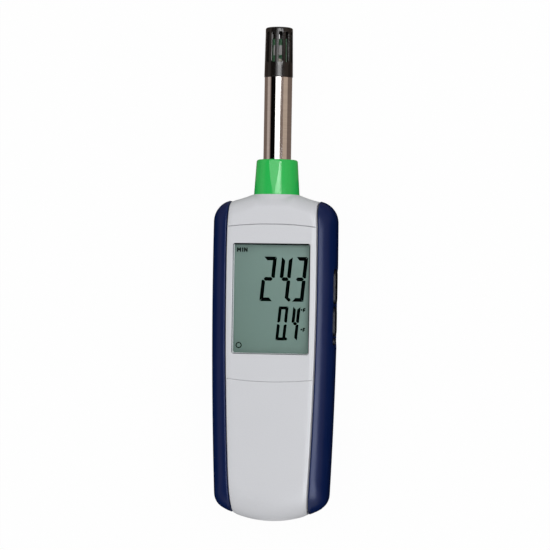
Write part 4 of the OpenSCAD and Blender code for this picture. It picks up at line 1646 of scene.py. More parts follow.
@dataclass
class DisplayPanel:
    """The grey panel round the window, with bowed ends.

    How much of the dark strip under the lens shows is given for the window's left, right, foot and top;
    the strip is a painted shadow of the bezel on the display.
    """

    finishes: Finishes
    case: Case
    side_gap: float = 0.1
    bow_reach: float = 1.4
    window_hw: float = 19.9
    window_y: Pair = (85.8, 142.1)
    window_r: float = 1.2
    window_edge: float = 0.35
    outer_edge: float = 0.3
    back_z: float = 28.4
    shadow_strip_z: Pair = (26.46, 28.4)
    shadow_strip_under: float = 0.4
    shadow_strip_shows: tuple[float, float, float, float] = (0.25, 0.5, 0.28, 0.8)
    per_side: int = 44
    rings: int = 12
    corner_steps: int = 12

    def _share(self) -> Array:
        """Shares along one side, closer together at the corners."""
        t = np.linspace(0, 1, self.per_side, endpoint=False)
        return 0.5 - 0.5 * np.cos(math.pi * t) * (0.55 + 0.45 * np.abs(np.cos(math.pi * t)))

    def _inner(self) -> Array:
        """Draw the window's outline, each side from the middle of one corner to the next.

        Returns:
            Its points.
        """
        mid_y = sum(self.window_y) / 2
        corners = rounded_rect(self.window_hw, mid_y - self.window_y[0], self.window_r,
                               self.corner_steps)
        corners[:, 1] += mid_y
        per_corner = self.corner_steps + 1
        out = []
        for quarter in range(4):
            start = (quarter - 1) % 4 * per_corner + self.corner_steps // 2
            line = corners[(start + np.arange(per_corner + 1)) % len(corners)]
            seg = np.concatenate([[0], np.cumsum(np.linalg.norm(np.diff(line, axis=0), axis=1))])
            t = self._share() * seg[-1]
            out.append(np.column_stack([np.interp(t, seg, line[:, 0]), np.interp(t, seg, line[:, 1])]))
        return np.concatenate(out)

    def _outer(self) -> Array:
        """Draw the panel's outline, side by side like the window's.

        Returns:
            Its points.
        """
        def reach(y: Array | float) -> Array:
            """Half width of the panel at a distance from the foot."""
            return self.case.edge(y) - self.side_gap

        end = self.case.panel_end
        x_low = float(reach(self.case.panel_y[0] + self.bow_reach))
        x_high = float(reach(self.case.panel_y[1] - self.bow_reach))
        y_low, y_high = float(end(x_low, False)), float(end(x_high, True))
        t = self._share()
        up, down = y_low + (y_high - y_low) * t, y_high + (y_low - y_high) * t
        top, bottom = x_high - 2 * x_high * t, -x_low + 2 * x_low * t
        sides = ((reach(up), up), (top, end(top, True)), (-reach(down), down),
                 (bottom, end(bottom, False)))
        return np.concatenate([np.column_stack(side) for side in sides])

    def shape(self) -> Shape:
        """Make the panel as rings of points from the window outwards.

        Returns:
            The closed shape.
        """
        inner, outer = self._inner(), self._outer()
        way = outer - inner
        span = np.linalg.norm(way, axis=1)
        first, last = EDGE_END / span, 1 - EDGE_END / span
        rows = [inner + way * (step / span)[:, None] for step in EDGE_STEPS]
        rows += [inner + way * (first + (last - first) * t)[:, None]
                 for t in between_ends(0, 1, self.rings)]
        rows += [outer + (inner - outer) * (step / span)[:, None] for step in EDGE_STEPS[::-1]]
        sinks = np.concatenate([fillet_sink(EDGE_STEPS, self.window_edge), np.zeros(self.rings),
                                fillet_sink(EDGE_STEPS[::-1], self.outer_edge)])
        xy = np.array(rows)
        level = FORM.level_of(xy[..., 0], xy[..., 1], Side.FRONT)
        z = FORM.level_z(level, Side.FRONT) - sinks[:, None]
        z -= self.case.edge_relief(xy[..., 0], xy[..., 1])
        top = np.concatenate([xy, z[..., None]], -1)
        bottom = top.copy()
        bottom[..., 2] = self.back_z
        return plate(top, bottom, wrap=True)

    def shadow_strip(self) -> Shape:
        """Make the dark strip under the lens, a painted shadow of the bezel on the display, wide over
        the display and narrow beside it.

        Returns:
            The closed shape.
        """
        left, right, foot, top = self.shadow_strip_shows
        hw, (low, high), under = self.window_hw, self.window_y, self.shadow_strip_under
        grid = [[(x, y) for x in (-hw - under, -hw + left, hw - right, hw + under)]
                for y in (low - under, low + foot, high - top, high + under)]
        lower, upper = (np.array([[(x, y, z) for x, y in row] for row in grid]) for z in self.shadow_strip_z)
        keep = np.ones((3, 3), bool)
        keep[1, 1] = False
        return plate(upper, lower, keep)

    def build(self) -> None:
        """Make the panel and dress the window."""
        panel = make_object("display_panel_moulding", self.shape(), self.finishes["case_grey"],
                            SOFT_ANGLE)
        settle(panel, Body.CASE, "case_grey", "display_bezel")
        # painted shadow: a dark strip under the lens darkens the display's edges where the bezel shades
        # them
        shadow_trim = make_object("window_painted_shadow", self.shadow_strip(), self.finishes["painted_shadow_black"], SOFT_ANGLE)
        settle(shadow_trim, Body.CASE, "black_plastic")


@dataclass(frozen=True)
class Stroke:
    """One dark mark on the display: its middle, length, width and turn in degrees.

    A mitre of 1 or -1 cuts an end slantwise, shorter on the mark's left or right side.
    """

    x: float
    y: float
    length: float
    width: float
    turn: float = 0.0
    mitre_start: float = 0.0
    mitre_end: float = 0.0

    @classmethod
    def between(cls, a: Pair, b: Pair, width: float, *mitres: float, longer: float = 0.0) -> "Stroke":
        """Draw a mark from one point to another.

        Args:
            a, b: The points.
            width: The mark's width.
            mitres: Its mitres at the start and the end.
            longer: How much longer it is than the way between the points.

        Returns:
            The mark.
        """
        dx, dy = b[0] - a[0], b[1] - a[1]
        return cls((a[0] + b[0]) / 2, (a[1] + b[1]) / 2, math.hypot(dx, dy) + longer, width,
                   math.degrees(math.atan2(dy, dx)), *mitres)


@dataclass(frozen=True)
class Numeral:
    """A seven-segment numeral in its box."""

    figure: str
    x0: float
    x1: float
    y0: float
    y1: float
    stroke: float


@dataclass
class Readings:
    """The dark figures and small signs of the display."""

    finishes: Finishes
    surface_z: float = 26.4
    ink_t: float = 0.03
    slant: float = 5.5
    gap: float = 0.1
    joint_mitre: float = 0.35
    taper: float = 0.42
    sign_w: float = 0.62
    sign_longer: float = 0.35
    ring_place: Pair = (-16.6, 90.1)
    ring_r: float = 1.3
    ring_l: float = 1.15
    ring_steps: int = 8
    numerals: tuple[Numeral, ...] = (
        Numeral("2", -6.3, 2.5, 112.7, 135.4, 1.9),
        Numeral("4", 2.85, 10.65, 112.7, 135.4, 1.9),
        Numeral("3", 10.3, 18.5, 112.7, 135.4, 1.9),
        Numeral("0", 2.2, 8.9, 92.9, 110.2, 1.55),
        Numeral("4", 9.55, 15.0, 92.9, 110.2, 1.55),
    )
    points: tuple[Stroke, ...] = (Stroke(8.93, 113.6, 1.9, 1.9), Stroke(7.68, 93.7, 1.6, 1.6))
    word: tuple[tuple[str, float], ...] = (("m", -17.9), ("i", -15.3), ("n", -14.3))
    word_y: float = 137.7
    word_size: float = 2.1
    units: tuple[Pair, ...] = ((15.5, 108.6), (15.5, 98.6))
    unit_size: float = 1.6
    unit_dot: float = 1.0
    unit_shift: Pair = (0.95, -1.0)

    lit: ClassVar[dict[str, str]] = {"0": "abcdef", "2": "abged", "3": "abgcd", "4": "fgbc"}
    letters: ClassVar[dict[str, tuple[tuple[float, ...], ...]]] = {
        "m": ((0, 0, 0, 1), (0, 1, 0.35, 0.4), (0.35, 0.4, 0.7, 1), (0.7, 1, 0.7, 0)),
        "i": ((0, 0, 0, 1),),
        "n": ((0, 0, 0, 1), (0, 1, 0.6, 0), (0.6, 0, 0.6, 1)),
        "f": ((0, 0, 0, 1), (0, 1, 0.6, 1), (0, 0.5, 0.5, 0.5)),
    }

    def _numeral(self, n: Numeral) -> list[Stroke]:
        """Draw the lit segments of one numeral, leaning right.

        Args:
            n: The numeral.

        Returns:
            Its marks.
        """
        lean = math.tan(math.radians(self.slant))
        half, gap = n.stroke / 2, n.stroke * self.gap
        width = (n.x1 - n.x0) - lean * (n.y1 - n.y0)
        x0, x1 = n.x0 + gap, n.x0 + width - gap
        left, right = n.x0 + half, n.x0 + width - half
        low, mid, high = n.y0 + half, (n.y0 + n.y1) / 2, n.y1 - half
        up0, up1, down0, down1 = mid + gap, n.y1 - gap, n.y0 + gap, mid - gap
        joint = self.joint_mitre
        ends = {"a": (x0, high, x1, high, -1.0, -1.0), "d": (x0, low, x1, low, 1.0, 1.0),
                "g": (left, mid, right, mid, 0.0, 0.0),
                "f": (left, up0, left, up1, -joint, -1.0), "b": (right, up0, right, up1, joint, 1.0),
                "e": (left, down0, left, down1, -1.0, -joint),
                "c": (right, down0, right, down1, 1.0, joint)}
        found = []
        for key in self.lit[n.figure]:
            xa, ya, xb, yb, *mitres = ends[key]
            found.append(Stroke.between((xa + lean * (ya - n.y0), ya), (xb + lean * (yb - n.y0), yb),
                                        n.stroke, *mitres))
        return found

    def _letter(self, letter: str, x: float, y: float, size: float) -> list[Stroke]:
        """Draw one small letter from its lines."""
        return [Stroke.between((x + x0 * size, y + y0 * size), (x + x1 * size, y + y1 * size),
                               self.sign_w, longer=self.sign_longer)
                for x0, y0, x1, y1 in self.letters[letter]]

    def strokes(self) -> list[Stroke]:
        """Draw every mark: figures, points, the small word, the ring and the two units.

        Returns:
            The marks.
        """
        found = [stroke for n in self.numerals for stroke in self._numeral(n)] + list(self.points)
        for letter, x in self.word:
            found += self._letter(letter, x, self.word_y, self.word_size)
        for k in range(self.ring_steps):
            a = 2 * math.pi / self.ring_steps * k
            found.append(Stroke(self.ring_place[0] + self.ring_r * math.cos(a),
                                self.ring_place[1] + self.ring_r * math.sin(a),
                                self.ring_l, self.sign_w, math.degrees(a) + 90))
        for x, y in self.units:
            found += [Stroke(x, y, self.unit_dot, self.unit_dot),
                      *self._letter("f", x + self.unit_shift[0], y + self.unit_shift[1],
                                    self.unit_size)]
        return found

    def build(self) -> None:
        """Let Geometry Nodes set one segment on each mark, and make the result one mesh."""
        strokes = self.strokes()
        carrier = make_object("display_readings",
                              Shape(np.array([(s.x, s.y, self.surface_z) for s in strokes]), []))
        for name, values in (("length", [s.length * MM for s in strokes]),
                             ("width", [s.width * MM for s in strokes]),
                             ("turn", [math.radians(s.turn) for s in strokes]),
                             ("mitre_start", [s.mitre_start for s in strokes]),
                             ("mitre_end", [s.mitre_end for s in strokes])):
            carrier.data.attributes.new(name, "FLOAT", "POINT").data.foreach_set("value", values)
        tree = GeometryTree("set_strokes", "Thickness", "Taper")
        tree.build_strokes(self.finishes["lcd_ink"])
        tree.run(carrier, Thickness=self.ink_t * MM, Taper=self.taper)
        settle(carrier, Body.CASE, "lcd")


class GeometryTree(Tree):
    """A Geometry Nodes tree with named inputs, built in code and turned into a plain mesh."""

    def __init__(self, name: str, *sizes: str) -> None:
        """Open the tree with its geometry sockets and its named sizes.

        Args:
            name: Name of the tree.
            sizes: Names of its sizes.
        """
        group = bpy.data.node_groups.new(name, "GeometryNodeTree")
        group.interface.new_socket(name="Geometry", in_out="INPUT", socket_type="NodeSocketGeometry")
        self.identifiers = {
            size: group.interface.new_socket(name=size, in_out="INPUT",
                                             socket_type="NodeSocketFloat").identifier
            for size in sizes}
        group.interface.new_socket(name="Geometry", in_out="OUTPUT", socket_type="NodeSocketGeometry")
        super().__init__(group)
        self.start = self.add("NodeGroupInput").outputs
        self.end = self.add("NodeGroupOutput").inputs[0]

    def named(self, name: str) -> Socket:
        """Read a number that each point carries."""
        return self.node("GeometryNodeInputNamedAttribute", {"Name": name}, data_type="FLOAT")

    def store(self, geometry: Socket, name: str, value: Socket) -> Socket:
        """Let each point carry a number."""
        return self.node("GeometryNodeStoreNamedAttribute",
                         {"Geometry": geometry, "Name": name, "Value": value},
                         data_type="FLOAT", domain="POINT")

    def vector(self, x: object, y: object, z: object) -> Socket:
        """Put three numbers together."""
        return self.node("ShaderNodeCombineXYZ", {0: x, 1: y, 2: z})

    def position(self) -> Sequence[Socket]:
        """x, y and z of each point."""
        return self.split(self.node("GeometryNodeInputPosition", {}))

    def copies(self, points: Socket, instance: Socket, turn: Socket, **more: Socket) -> Socket:
        """Set a copy on each point.

        Args:
            points: The points.
            instance: What is copied.
            turn: How each copy is turned.
            more: What other sockets get.

        Returns:
            The copies.
        """
        return self.node("GeometryNodeInstanceOnPoints",
                         {"Points": points, "Instance": instance, "Rotation": turn, **more})

    def close(self, geometry: Socket, material: Skin, merge: float | None = None) -> None:
        """End the tree in Realize Instances and Set Material.

        Args:
            geometry: What the tree made.
            material: Its material.
            merge: Corners closer than this become one, in metres.
        """
        out = self.node("GeometryNodeRealizeInstances", {0: geometry})
        if merge is not None:
            out = self.node("GeometryNodeMergeByDistance", {"Geometry": out, "Distance": merge})
        out = self.node("GeometryNodeSetMaterial", {"Geometry": out, "Material": material})
        self.link(out, self.end)

    def build_strokes(self, material: Skin) -> None:
        """Set a slim six-sided plate on each point, as long, wide and turned as the point says.

        Args:
            material: Material of the plates.
        """
        hexagon = self.node("GeometryNodeMeshCylinder",
                            {"Vertices": 6, "Radius": 1.0, "Depth": self.start["Thickness"]},
                            fill_type="NGON")
        x, y, z = self.position()
        end_of, side_of = self.math("SIGN", x), self.math("SIGN", y)
        shoulder = self.minus(1.0, self.math("GREATER_THAN", self.math("ABSOLUTE", x), 0.75))
        rims = self.store(self.store(hexagon, "end", end_of), "rim", self.times(side_of, shoulder))
        flat = self.node("GeometryNodeSetPosition", {"Geometry": rims, "Position": self.vector(
            self.times(end_of, 0.5), self.times(self.times(side_of, 0.5), shoulder), z)})
        turn, width = self.named("turn"), self.named("width")
        plates = self.node("GeometryNodeRealizeInstances", {0: self.copies(
            self.start["Geometry"], flat, self.vector(0.0, 0.0, turn),
            Scale=self.vector(self.named("length"), width, 1.0))})
        rim, end = self.named("rim"), self.named("end")
        first, second = self.named("mitre_start"), self.named("mitre_end")
        mitre = self.plus(first, self.times(self.math("GREATER_THAN", end, 0.0),
                                            self.minus(second, first)))
        edge = self.math("ABSOLUTE", rim)
        share = self.plus(self.plus(edge, self.times(mitre, rim)),
                          self.times(self.minus(1.0, edge), self.math("ABSOLUTE", mitre)))
        back = self.times(self.times(share, width),
                          self.times(end, self.times(self.start["Taper"], -1.0)))
        offset = self.vector(self.times(back, self.math("COSINE", turn)),
                             self.times(back, self.math("SINE", turn)), 0.0)
        self.close(self.node("GeometryNodeSetPosition", {"Geometry": plates, "Offset": offset}),
                   material)

    def build_flats(self, material: Skin) -> None:
        """Press the front and back of a turned piece down to two flats that lean inwards.

        Args:
            material: Material of the piece.
        """
        x, y, z = self.position()
        axis, start = self.start["Axis"], self.start["Start"]
        height = self.minus(z, axis)
        past = self.math("MAXIMUM", self.minus(y, start), 0.0)
        limit = self.plus(self.minus(self.start["Reach"], self.times(past, self.start["Slope"])),
                          self.math("LESS_THAN", y, start))
        pressed = self.times(self.math("SIGN", height),
                             self.math("MINIMUM", self.math("ABSOLUTE", height), limit))
        self.close(self.node("GeometryNodeSetPosition", {
            "Geometry": self.start["Geometry"],
            "Position": self.vector(x, y, self.plus(axis, pressed))}), material)

    def build_circle(self, material: Skin, count: int, merge: float) -> None:
        """Repeat the input mesh round the probe's axis and weld the copies.

        Args:
            material: Material of the result.
            count: How many copies there are.
            merge: Corners closer than this become one, in metres.
        """
        line = self.node("GeometryNodeMeshLine", {
            "Count": count, "Offset": (0.0, 0.0, 0.0),
            "Start Location": self.vector(0.0, 0.0, self.start["Axis"])}, mode="OFFSET")
        turn = self.times(self.node("GeometryNodeInputIndex", {}), self.start["Turn"])
        self.close(self.copies(line, self.start["Geometry"], self.vector(0.0, turn, 0.0)),
                   material, merge)

    def build_copies(self, material: Skin) -> None:
        """Set the input mesh on each of the four corners that its named sizes give.

        Args:
            material: Material of the copies.
        """
        corners = [self.node("GeometryNodeMeshLine", {
            "Count": 1, "Start Location": self.vector(self.times(self.start["Across"], side),
                                                      self.start[row], self.start["Depth"])},
            mode="OFFSET") for side in (-1.0, 1.0) for row in ("Low", "High")]
        join = self.add("GeometryNodeJoinGeometry")
        for corner in corners:
            self.link(corner, join.inputs[0])
        turn = self.times(self.node("GeometryNodeInputIndex", {}), self.start["Turn"])
        self.close(self.copies(join.outputs[0], self.start["Geometry"], self.vector(0.0, 0.0, turn)),
                   material)

    def run(self, obj: Object, smooth_angle: float = PLAIN_ANGLE, **sizes: float) -> None:
        """Run the tree on an object and keep only the mesh.

        Args:
            obj: The object whose mesh goes in.
            smooth_angle: Edges that turn more than this stay sharp, in degrees.
            sizes: Its named sizes.
        """
        modifier = obj.modifiers.new(self.tree.name, "NODES")
        modifier.node_group = self.tree
        for size, value in sizes.items():
            modifier[self.identifiers[size]] = value
        bake(obj, smooth_angle)


# The probe.


@dataclass
class Collar:
    """The green collar: a turned cone whose front and back have a flat that widens to the top."""

    finishes: Finishes
    y0: float = 162.7
    y1: float = 185.2
    base_r: float = 11.7
    top_r: float = 10.65
    edge: float = 1.2
    bore_r: float = 6.95
    flat_from: float = 2.8
    flat_depth: float = 0.4
    cone_rows: int = 34
    edge_rows: int = 9
    segments: int = 256

    def radius(self, y: float) -> float:
        """Radius of the cone at a distance from the foot."""
        rise = self.y1 - self.edge - FORM.length
        return self.base_r + (self.top_r - self.base_r) * max(y - FORM.length, 0.0) / rise

    def build(self) -> None:
        """Turn the cone, and let Geometry Nodes press the flats."""
        top = self.y1 - self.edge
        profile = [(self.bore_r, self.y0), (self.base_r, self.y0)]
        profile += [(self.radius(y), y) for y in np.linspace(FORM.length, top, self.cone_rows)]
        profile += [(self.top_r - self.edge * (1 - math.cos(a)), top + self.edge * math.sin(a))
                    for a in np.linspace(0, RIGHT, self.edge_rows)[1:]]
        profile += [(self.bore_r, self.y1)]
        skin = self.finishes["collar_green"]
        obj = make_object("probe_collar_moulding", lathe(profile, self.segments), skin, SOFT_ANGLE)
        start = FORM.length + self.flat_from
        reach = self.radius(start)
        tree = GeometryTree("press_flats", "Axis", "Start", "Reach", "Slope")
        tree.build_flats(skin)
        tree.run(obj, SOFT_ANGLE, Axis=FORM.axis_z * MM, Start=(start + FORM.foot_y) * MM,
                 Reach=reach * MM, Slope=(reach - self.top_r + self.flat_depth) / (top - start))
        settle(obj, Body.CASE, "collar_green", "probe_collar")


@dataclass
class Tube:
    """The bright steel tube."""

    finishes: Finishes
    y0: float = 185.2
    y1: float = 227.5
    outer_r: float = 7.2
    inner_r: float = 6.4
    inside_y: float = 154.2
    seat_r: float = 6.9
    edge: float = 0.12
    first_row: float = 20.0
    segments: int = 160

    def build(self) -> None:
        """Turn the tube from its profile."""
        profile = [(self.inner_r, self.inside_y), (self.seat_r, self.inside_y), (self.seat_r, self.y0),
                   (self.outer_r, self.y0), (self.outer_r, self.y0 + self.first_row),
                   (self.outer_r, self.y1 - self.edge),
                   (self.outer_r - self.edge, self.y1), (self.inner_r, self.y1)]
        obj = make_object("probe_tube_turned", lathe(profile, self.segments),
                          self.finishes["bright_steel"])
        settle(obj, Body.CASE, "bright_steel", "probe_tube")


@dataclass
class SensorCap:
    """The black slotted cap over the sensor."""

    finishes: Finishes
    y0: float = 227.6
    length: float = 25.4
    base_r: float = 7.4
    tip_r: float = 7.0
    inner_r: float = 6.4
    end_t: float = 1.5
    edge: float = 0.8
    foot_edge: float = 0.15
    centre_r: float = 3.0
    slots: int = 12
    slot_w: float = 1.8
    slot_l: float = 15.6
    slot_from_tip: float = 2.4
    rib_soft: float = 0.025
    rib_drop: float = 0.12
    foot_rows: int = 8
    slot_rows: int = 16
    edge_rows: int = 8
    touch: float = 1e-6
    merge: float = 1e-3
    weld: float = 2e-6

    @staticmethod
    def _arc(angles: Array, radius: Array | float, y: float) -> Array:
        """Points of one row of the sector."""
        return np.column_stack([np.sin(angles) * radius, np.full(len(angles), y),
                                np.cos(angles) * radius])

    def sector(self) -> Shape:
        """Make one rib with half of the slot on each side of it, open at its sides.

        Returns:
            The shape.
        """
        half, soft = math.pi / self.slots, self.rib_soft
        rib = half - math.asin(self.slot_w / 2 / self.tip_r)
        angles = np.array([-half, -(half + rib) / 2, -rib, -rib + soft, -rib / 2, 0,
                           rib / 2, rib - soft, rib, (half + rib) / 2, half])
        drop = np.where(np.abs(angles) == rib, self.rib_drop, 0.0)
        tip_y = self.y0 + self.length
        slot_y1 = tip_y - self.slot_from_tip
        slot_y0 = slot_y1 - self.slot_l
        side_end = tip_y - self.edge
        ys = [self.y0, self.y0 + self.foot_edge,
              *np.linspace(self.y0 + 2 * self.foot_edge, slot_y0, self.foot_rows),
              *np.linspace(slot_y0, slot_y1, self.slot_rows)[1:], side_end]
        radii = [self.base_r - self.foot_edge, self.base_r] + \
            [self.base_r + (self.tip_r - self.base_r) * (y - self.y0) / self.length for y in ys[2:]]
        rows = list(zip(ys, radii))
        rows += [(side_end + self.edge * math.sin(a), self.tip_r - self.edge * (1 - math.cos(a)))
                 for a in np.linspace(0, RIGHT, self.edge_rows)[1:]]
        rows += [(tip_y, self.centre_r), (tip_y, 0.0)]
        low, high = slot_y0 - self.touch, slot_y1 + self.touch
        outer = np.array([self._arc(angles, r - drop * (low <= y <= high), y) for y, r in rows])
        inner = np.array([self._arc(angles, min(r, self.inner_r), min(y, tip_y - self.end_t))
                          for y, r in rows])
        keep = np.ones((len(rows) - 1, len(angles) - 1), bool)
        for k, ((ya, _), (yb, _)) in enumerate(zip(rows, rows[1:])):
            if ya >= low and yb <= high:
                keep[k, :2] = keep[k, -2:] = False
        return plate(outer, inner, keep, open_ends=True)

    def build(self) -> None:
        """Repeat the rib round the axis with Geometry Nodes."""
        skin = self.finishes["cap_black"]
        obj = make_object("sensor_cap_moulding", self.sector(), skin, merge=self.merge)
        tree = GeometryTree("repeat_ribs", "Axis", "Turn")
        tree.build_circle(skin, self.slots, self.weld)
        tree.run(obj, Axis=FORM.axis_z * MM, Turn=2 * math.pi / self.slots)
        settle(obj, Body.CAP, "cap_black", "sensor_cap")


# The back.


@dataclass
class BatteryDoor:
    """The battery door with its thumb grooves and the tongues along its sides.

    A tongue reaches from inside the door's side to outside it, and has its own ends and heights.
    """

    finishes: Finishes
    half_w: float = 18.5
    y1: float = 64.0
    foot_z: float = 8.0
    thickness: float = 2.0
    edge_radius: float = 0.4
    end_radius: float = 0.3
    columns: int = 70
    foot_steps: int = 16
    row_count: int = 220
    grooves: int = 6
    groove_from: float = 12.0
    groove_step: float = 2.2
    groove_hw: float = 6.0
    groove_shorter: float = 0.5
    groove_reach: float = 0.8
    groove_depth: float = 0.45
    tongue_x: Pair = (-1.0, 1.2)
    tongue: tuple[float, float, float, float] = (14.0, 61.0, 1.1, 2.0)

    def _relief(self, x: Array, y: Array) -> Array:
        """Press the thumb grooves in.

        Args:
            x, y: Places on the door.

        Returns:
            Their depths.
        """
        depth = np.zeros_like(x)
        for i in range(self.grooves):
            dy = np.abs(y - (self.y1 - self.groove_from - self.groove_step * i))
            dx = np.maximum(np.abs(x) - (self.groove_hw - self.groove_shorter * i), 0)
            depth = np.maximum(depth, self.groove_depth
                               * np.clip(1 - (dy ** 2 + dx ** 2) / self.groove_reach, 0, 1))
        return depth

    def build(self) -> None:
        """Make the door from the case's own form."""
        face = Face(Side.BACK, edge_columns(between_ends(-1, 1, self.columns)),
                    lambda y: np.full_like(y, self.half_w), self.edge_radius)
        start = math.acos(1 - self.foot_z / FORM.round_z[1])
        rows = Rows()
        for k in range(self.foot_steps + 1):
            level = np.full(len(face.columns[0]), start * (1 - k / self.foot_steps))
            rows.add(face.across(level), self.end_radius if k == 0 else 0.0)
        begin = rows.places[-1][1]
        end = np.full_like(begin, self.y1)
        for y in steps_to(begin, end - EDGE_END, self.row_count):
            rows.add(face.along(y))
        for step in EDGE_STEPS[-2::-1]:
            rows.add(face.along(end - step), fillet_sink(step, self.end_radius))
        shape = face.solid(rows, self.thickness, self._relief)
        for side in (-1, 1):
            reach = sorted(side * (self.half_w + x) for x in self.tongue_x)
            shape = shape.plus(block(*reach, *self.tongue))
        obj = make_object("battery_door_moulding", shape, self.finishes["case_grey"], SOFT_ANGLE)
        settle(obj, Body.DOOR, "case_grey", "battery_door")


@dataclass
class Screws:
    """The four case screws with cross recesses.

    The profile gives height and radius from the domed head to the end of the shank.
    """

    finishes: Finishes
    case: Case
    top_z: float = 1.5
    recess: float = 0.8
    cross: Pair = (1.5, 0.33)
    turn_each: float = 0.83
    profile: tuple[Pair, ...] = (
        (0.0, 1.9), (0.06, 2.2), (0.22, 2.42), (0.45, 2.5), (1.8, 2.5), (1.8, 1.3), (22.1, 1.3))

    def build(self) -> None:
        """Cut the recess once and set the screw in its four places."""
        skin = self.finishes["screw_steel"]
        shape = loft([ring(r, z, 0.0, -FORM.foot_y) for z, r in self.profile])
        obj = make_object("case_screws_turned", shape, skin)
        for x, y in (self.cross, self.cross[::-1]):
            cut(obj, block(-x, x, -y - FORM.foot_y, y - FORM.foot_y, -1, self.recess))
        low, high = self.case.screw_y
        tree = GeometryTree("set_screws", "Across", "Low", "High", "Depth", "Turn")
        tree.build_copies(skin)
        tree.run(obj, Across=self.case.screw_x * MM, Low=(low + FORM.foot_y) * MM,
                 High=(high + FORM.foot_y) * MM, Depth=self.top_z * MM, Turn=self.turn_each)
        settle(obj, Body.CASE, "screw_steel", "case_screws")


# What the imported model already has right.


@dataclass
class Insides:
    """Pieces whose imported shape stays, and only gets its finish."""

    finishes: Finishes

    wear: ClassVar[dict[str, tuple[str, ...]]] = {
        "clear_lens": ("window_lens",),
        "display_glass": ("lcd_glass",),
        "black_plastic": ("lcd_frame", "sensor_carrier", "battery_snap"),
        "zebra_rubber": ("zebra_strips",),
        "circuit_board": ("main_board", "key_board", "sensor_board"),
        "chip_black": ("board_chips", "buzzer"),
        "screw_steel": ("board_screws", "tube_ring"),
        "switch_metal": ("key_switches",),
        "sensor_silver": ("humidity_sensor",),
        "ceramic": ("thermistor",),
        "wire_red": ("probe_leads", "battery_leads"),
        "connector_white": ("lead_plug", "board_header"),
        "battery_wrap": ("battery",),
    }

    def build(self) -> None:
        """Dress every node that shows and isn't replaced."""
        for finish, nodes in self.wear.items():
            for node in nodes:
                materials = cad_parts[node].data.materials
                materials.clear()
                materials.append(self.finishes[finish])
                log.info("%s: packed shape, %s", node, finish)


# Studio.


@dataclass(frozen=True)
class Card:
    """A studio card: its stretch along the object, and its edges in degrees round the probe.

    A card without angles is a table top beside the object.
    """

    name: str
    along: Pair
    tone: Colour
    angles: Pair | None = None
    strength: float = 1.0
    through_lens: bool = False


@dataclass(frozen=True)
class Lamp:
    """A soft rectangular lamp: its place, size and power."""

    name: str
    place: Triple
    size: Pair
    watts: float


WHITE = (1.0, 1.0, 1.0)
COOL = (0.9, 0.94, 1.0)
BLACK = srgb(8, 7, 7)
BROWN = srgb(132, 115, 107)
WHOLE = (-2.2, 2.2)
LOW = (-2.2, 0.1)
BESIDE_CASE = (-1.7, 0.1)
BESIDE_TUBE = (0.1, 0.275)
BEYOND_TUBE = (0.275, 0.6)

CARDS = (
    Card("warm_card_left", WHOLE, srgb(182, 168, 160), (-100.0, -62.0)),
    Card("brown_card_left", WHOLE, srgb(122, 108, 102), (-62.0, -54.0)),
    Card("black_card", WHOLE, BLACK, (-54.0, -14.0), through_lens=True),
    Card("black_card_low", LOW, BLACK, (-14.0, -3.0), through_lens=True),
    Card("soft_box_low", BESIDE_CASE, WHITE, (-3.0, 14.0), 1.1),
    Card("strip_box_low", BESIDE_CASE, COOL, (14.0, 49.0), 7.5),
    Card("soft_box_tube", BESIDE_TUBE, WHITE, (-14.0, 25.0), 1.7),
    Card("soft_box_collar", BEYOND_TUBE, WHITE, (-14.0, 0.0), 2.6),
    Card("strip_box_collar", BEYOND_TUBE, WHITE, (0.0, 31.0), 9.8),
    Card("grey_card_high", (0.6, 2.2), srgb(90, 90, 92), (-14.0, 25.0)),
    Card("brown_card_low", LOW, BROWN, (49.0, 52.0)),
    Card("brown_card_high", (0.1, 2.2), BROWN, (25.0, 50.0)),
    Card("warm_card_right", WHOLE, srgb(184, 166, 151), (50.0, 100.0)),
    Card("dark_table", (-1.6, 0.05), srgb(10, 10, 12)),
    Card("warm_table", (0.05, 1.6), srgb(117, 102, 94)),
)
LAMPS = (
    Lamp("key_lamp", (0.75, 0.35, 1.1), (0.5, 1.2), 4.4),
    Lamp("fill_lamp", (-0.9, -0.1, 0.9), (0.6, 1.2), 2.6),
    Lamp("foot_lamp", (0.1, -1.2, 0.7), (1.0, 0.5), 2.0),
    Lamp("head_lamp", (0.0, 1.2, 0.8), (1.0, 0.5), 2.0),
)


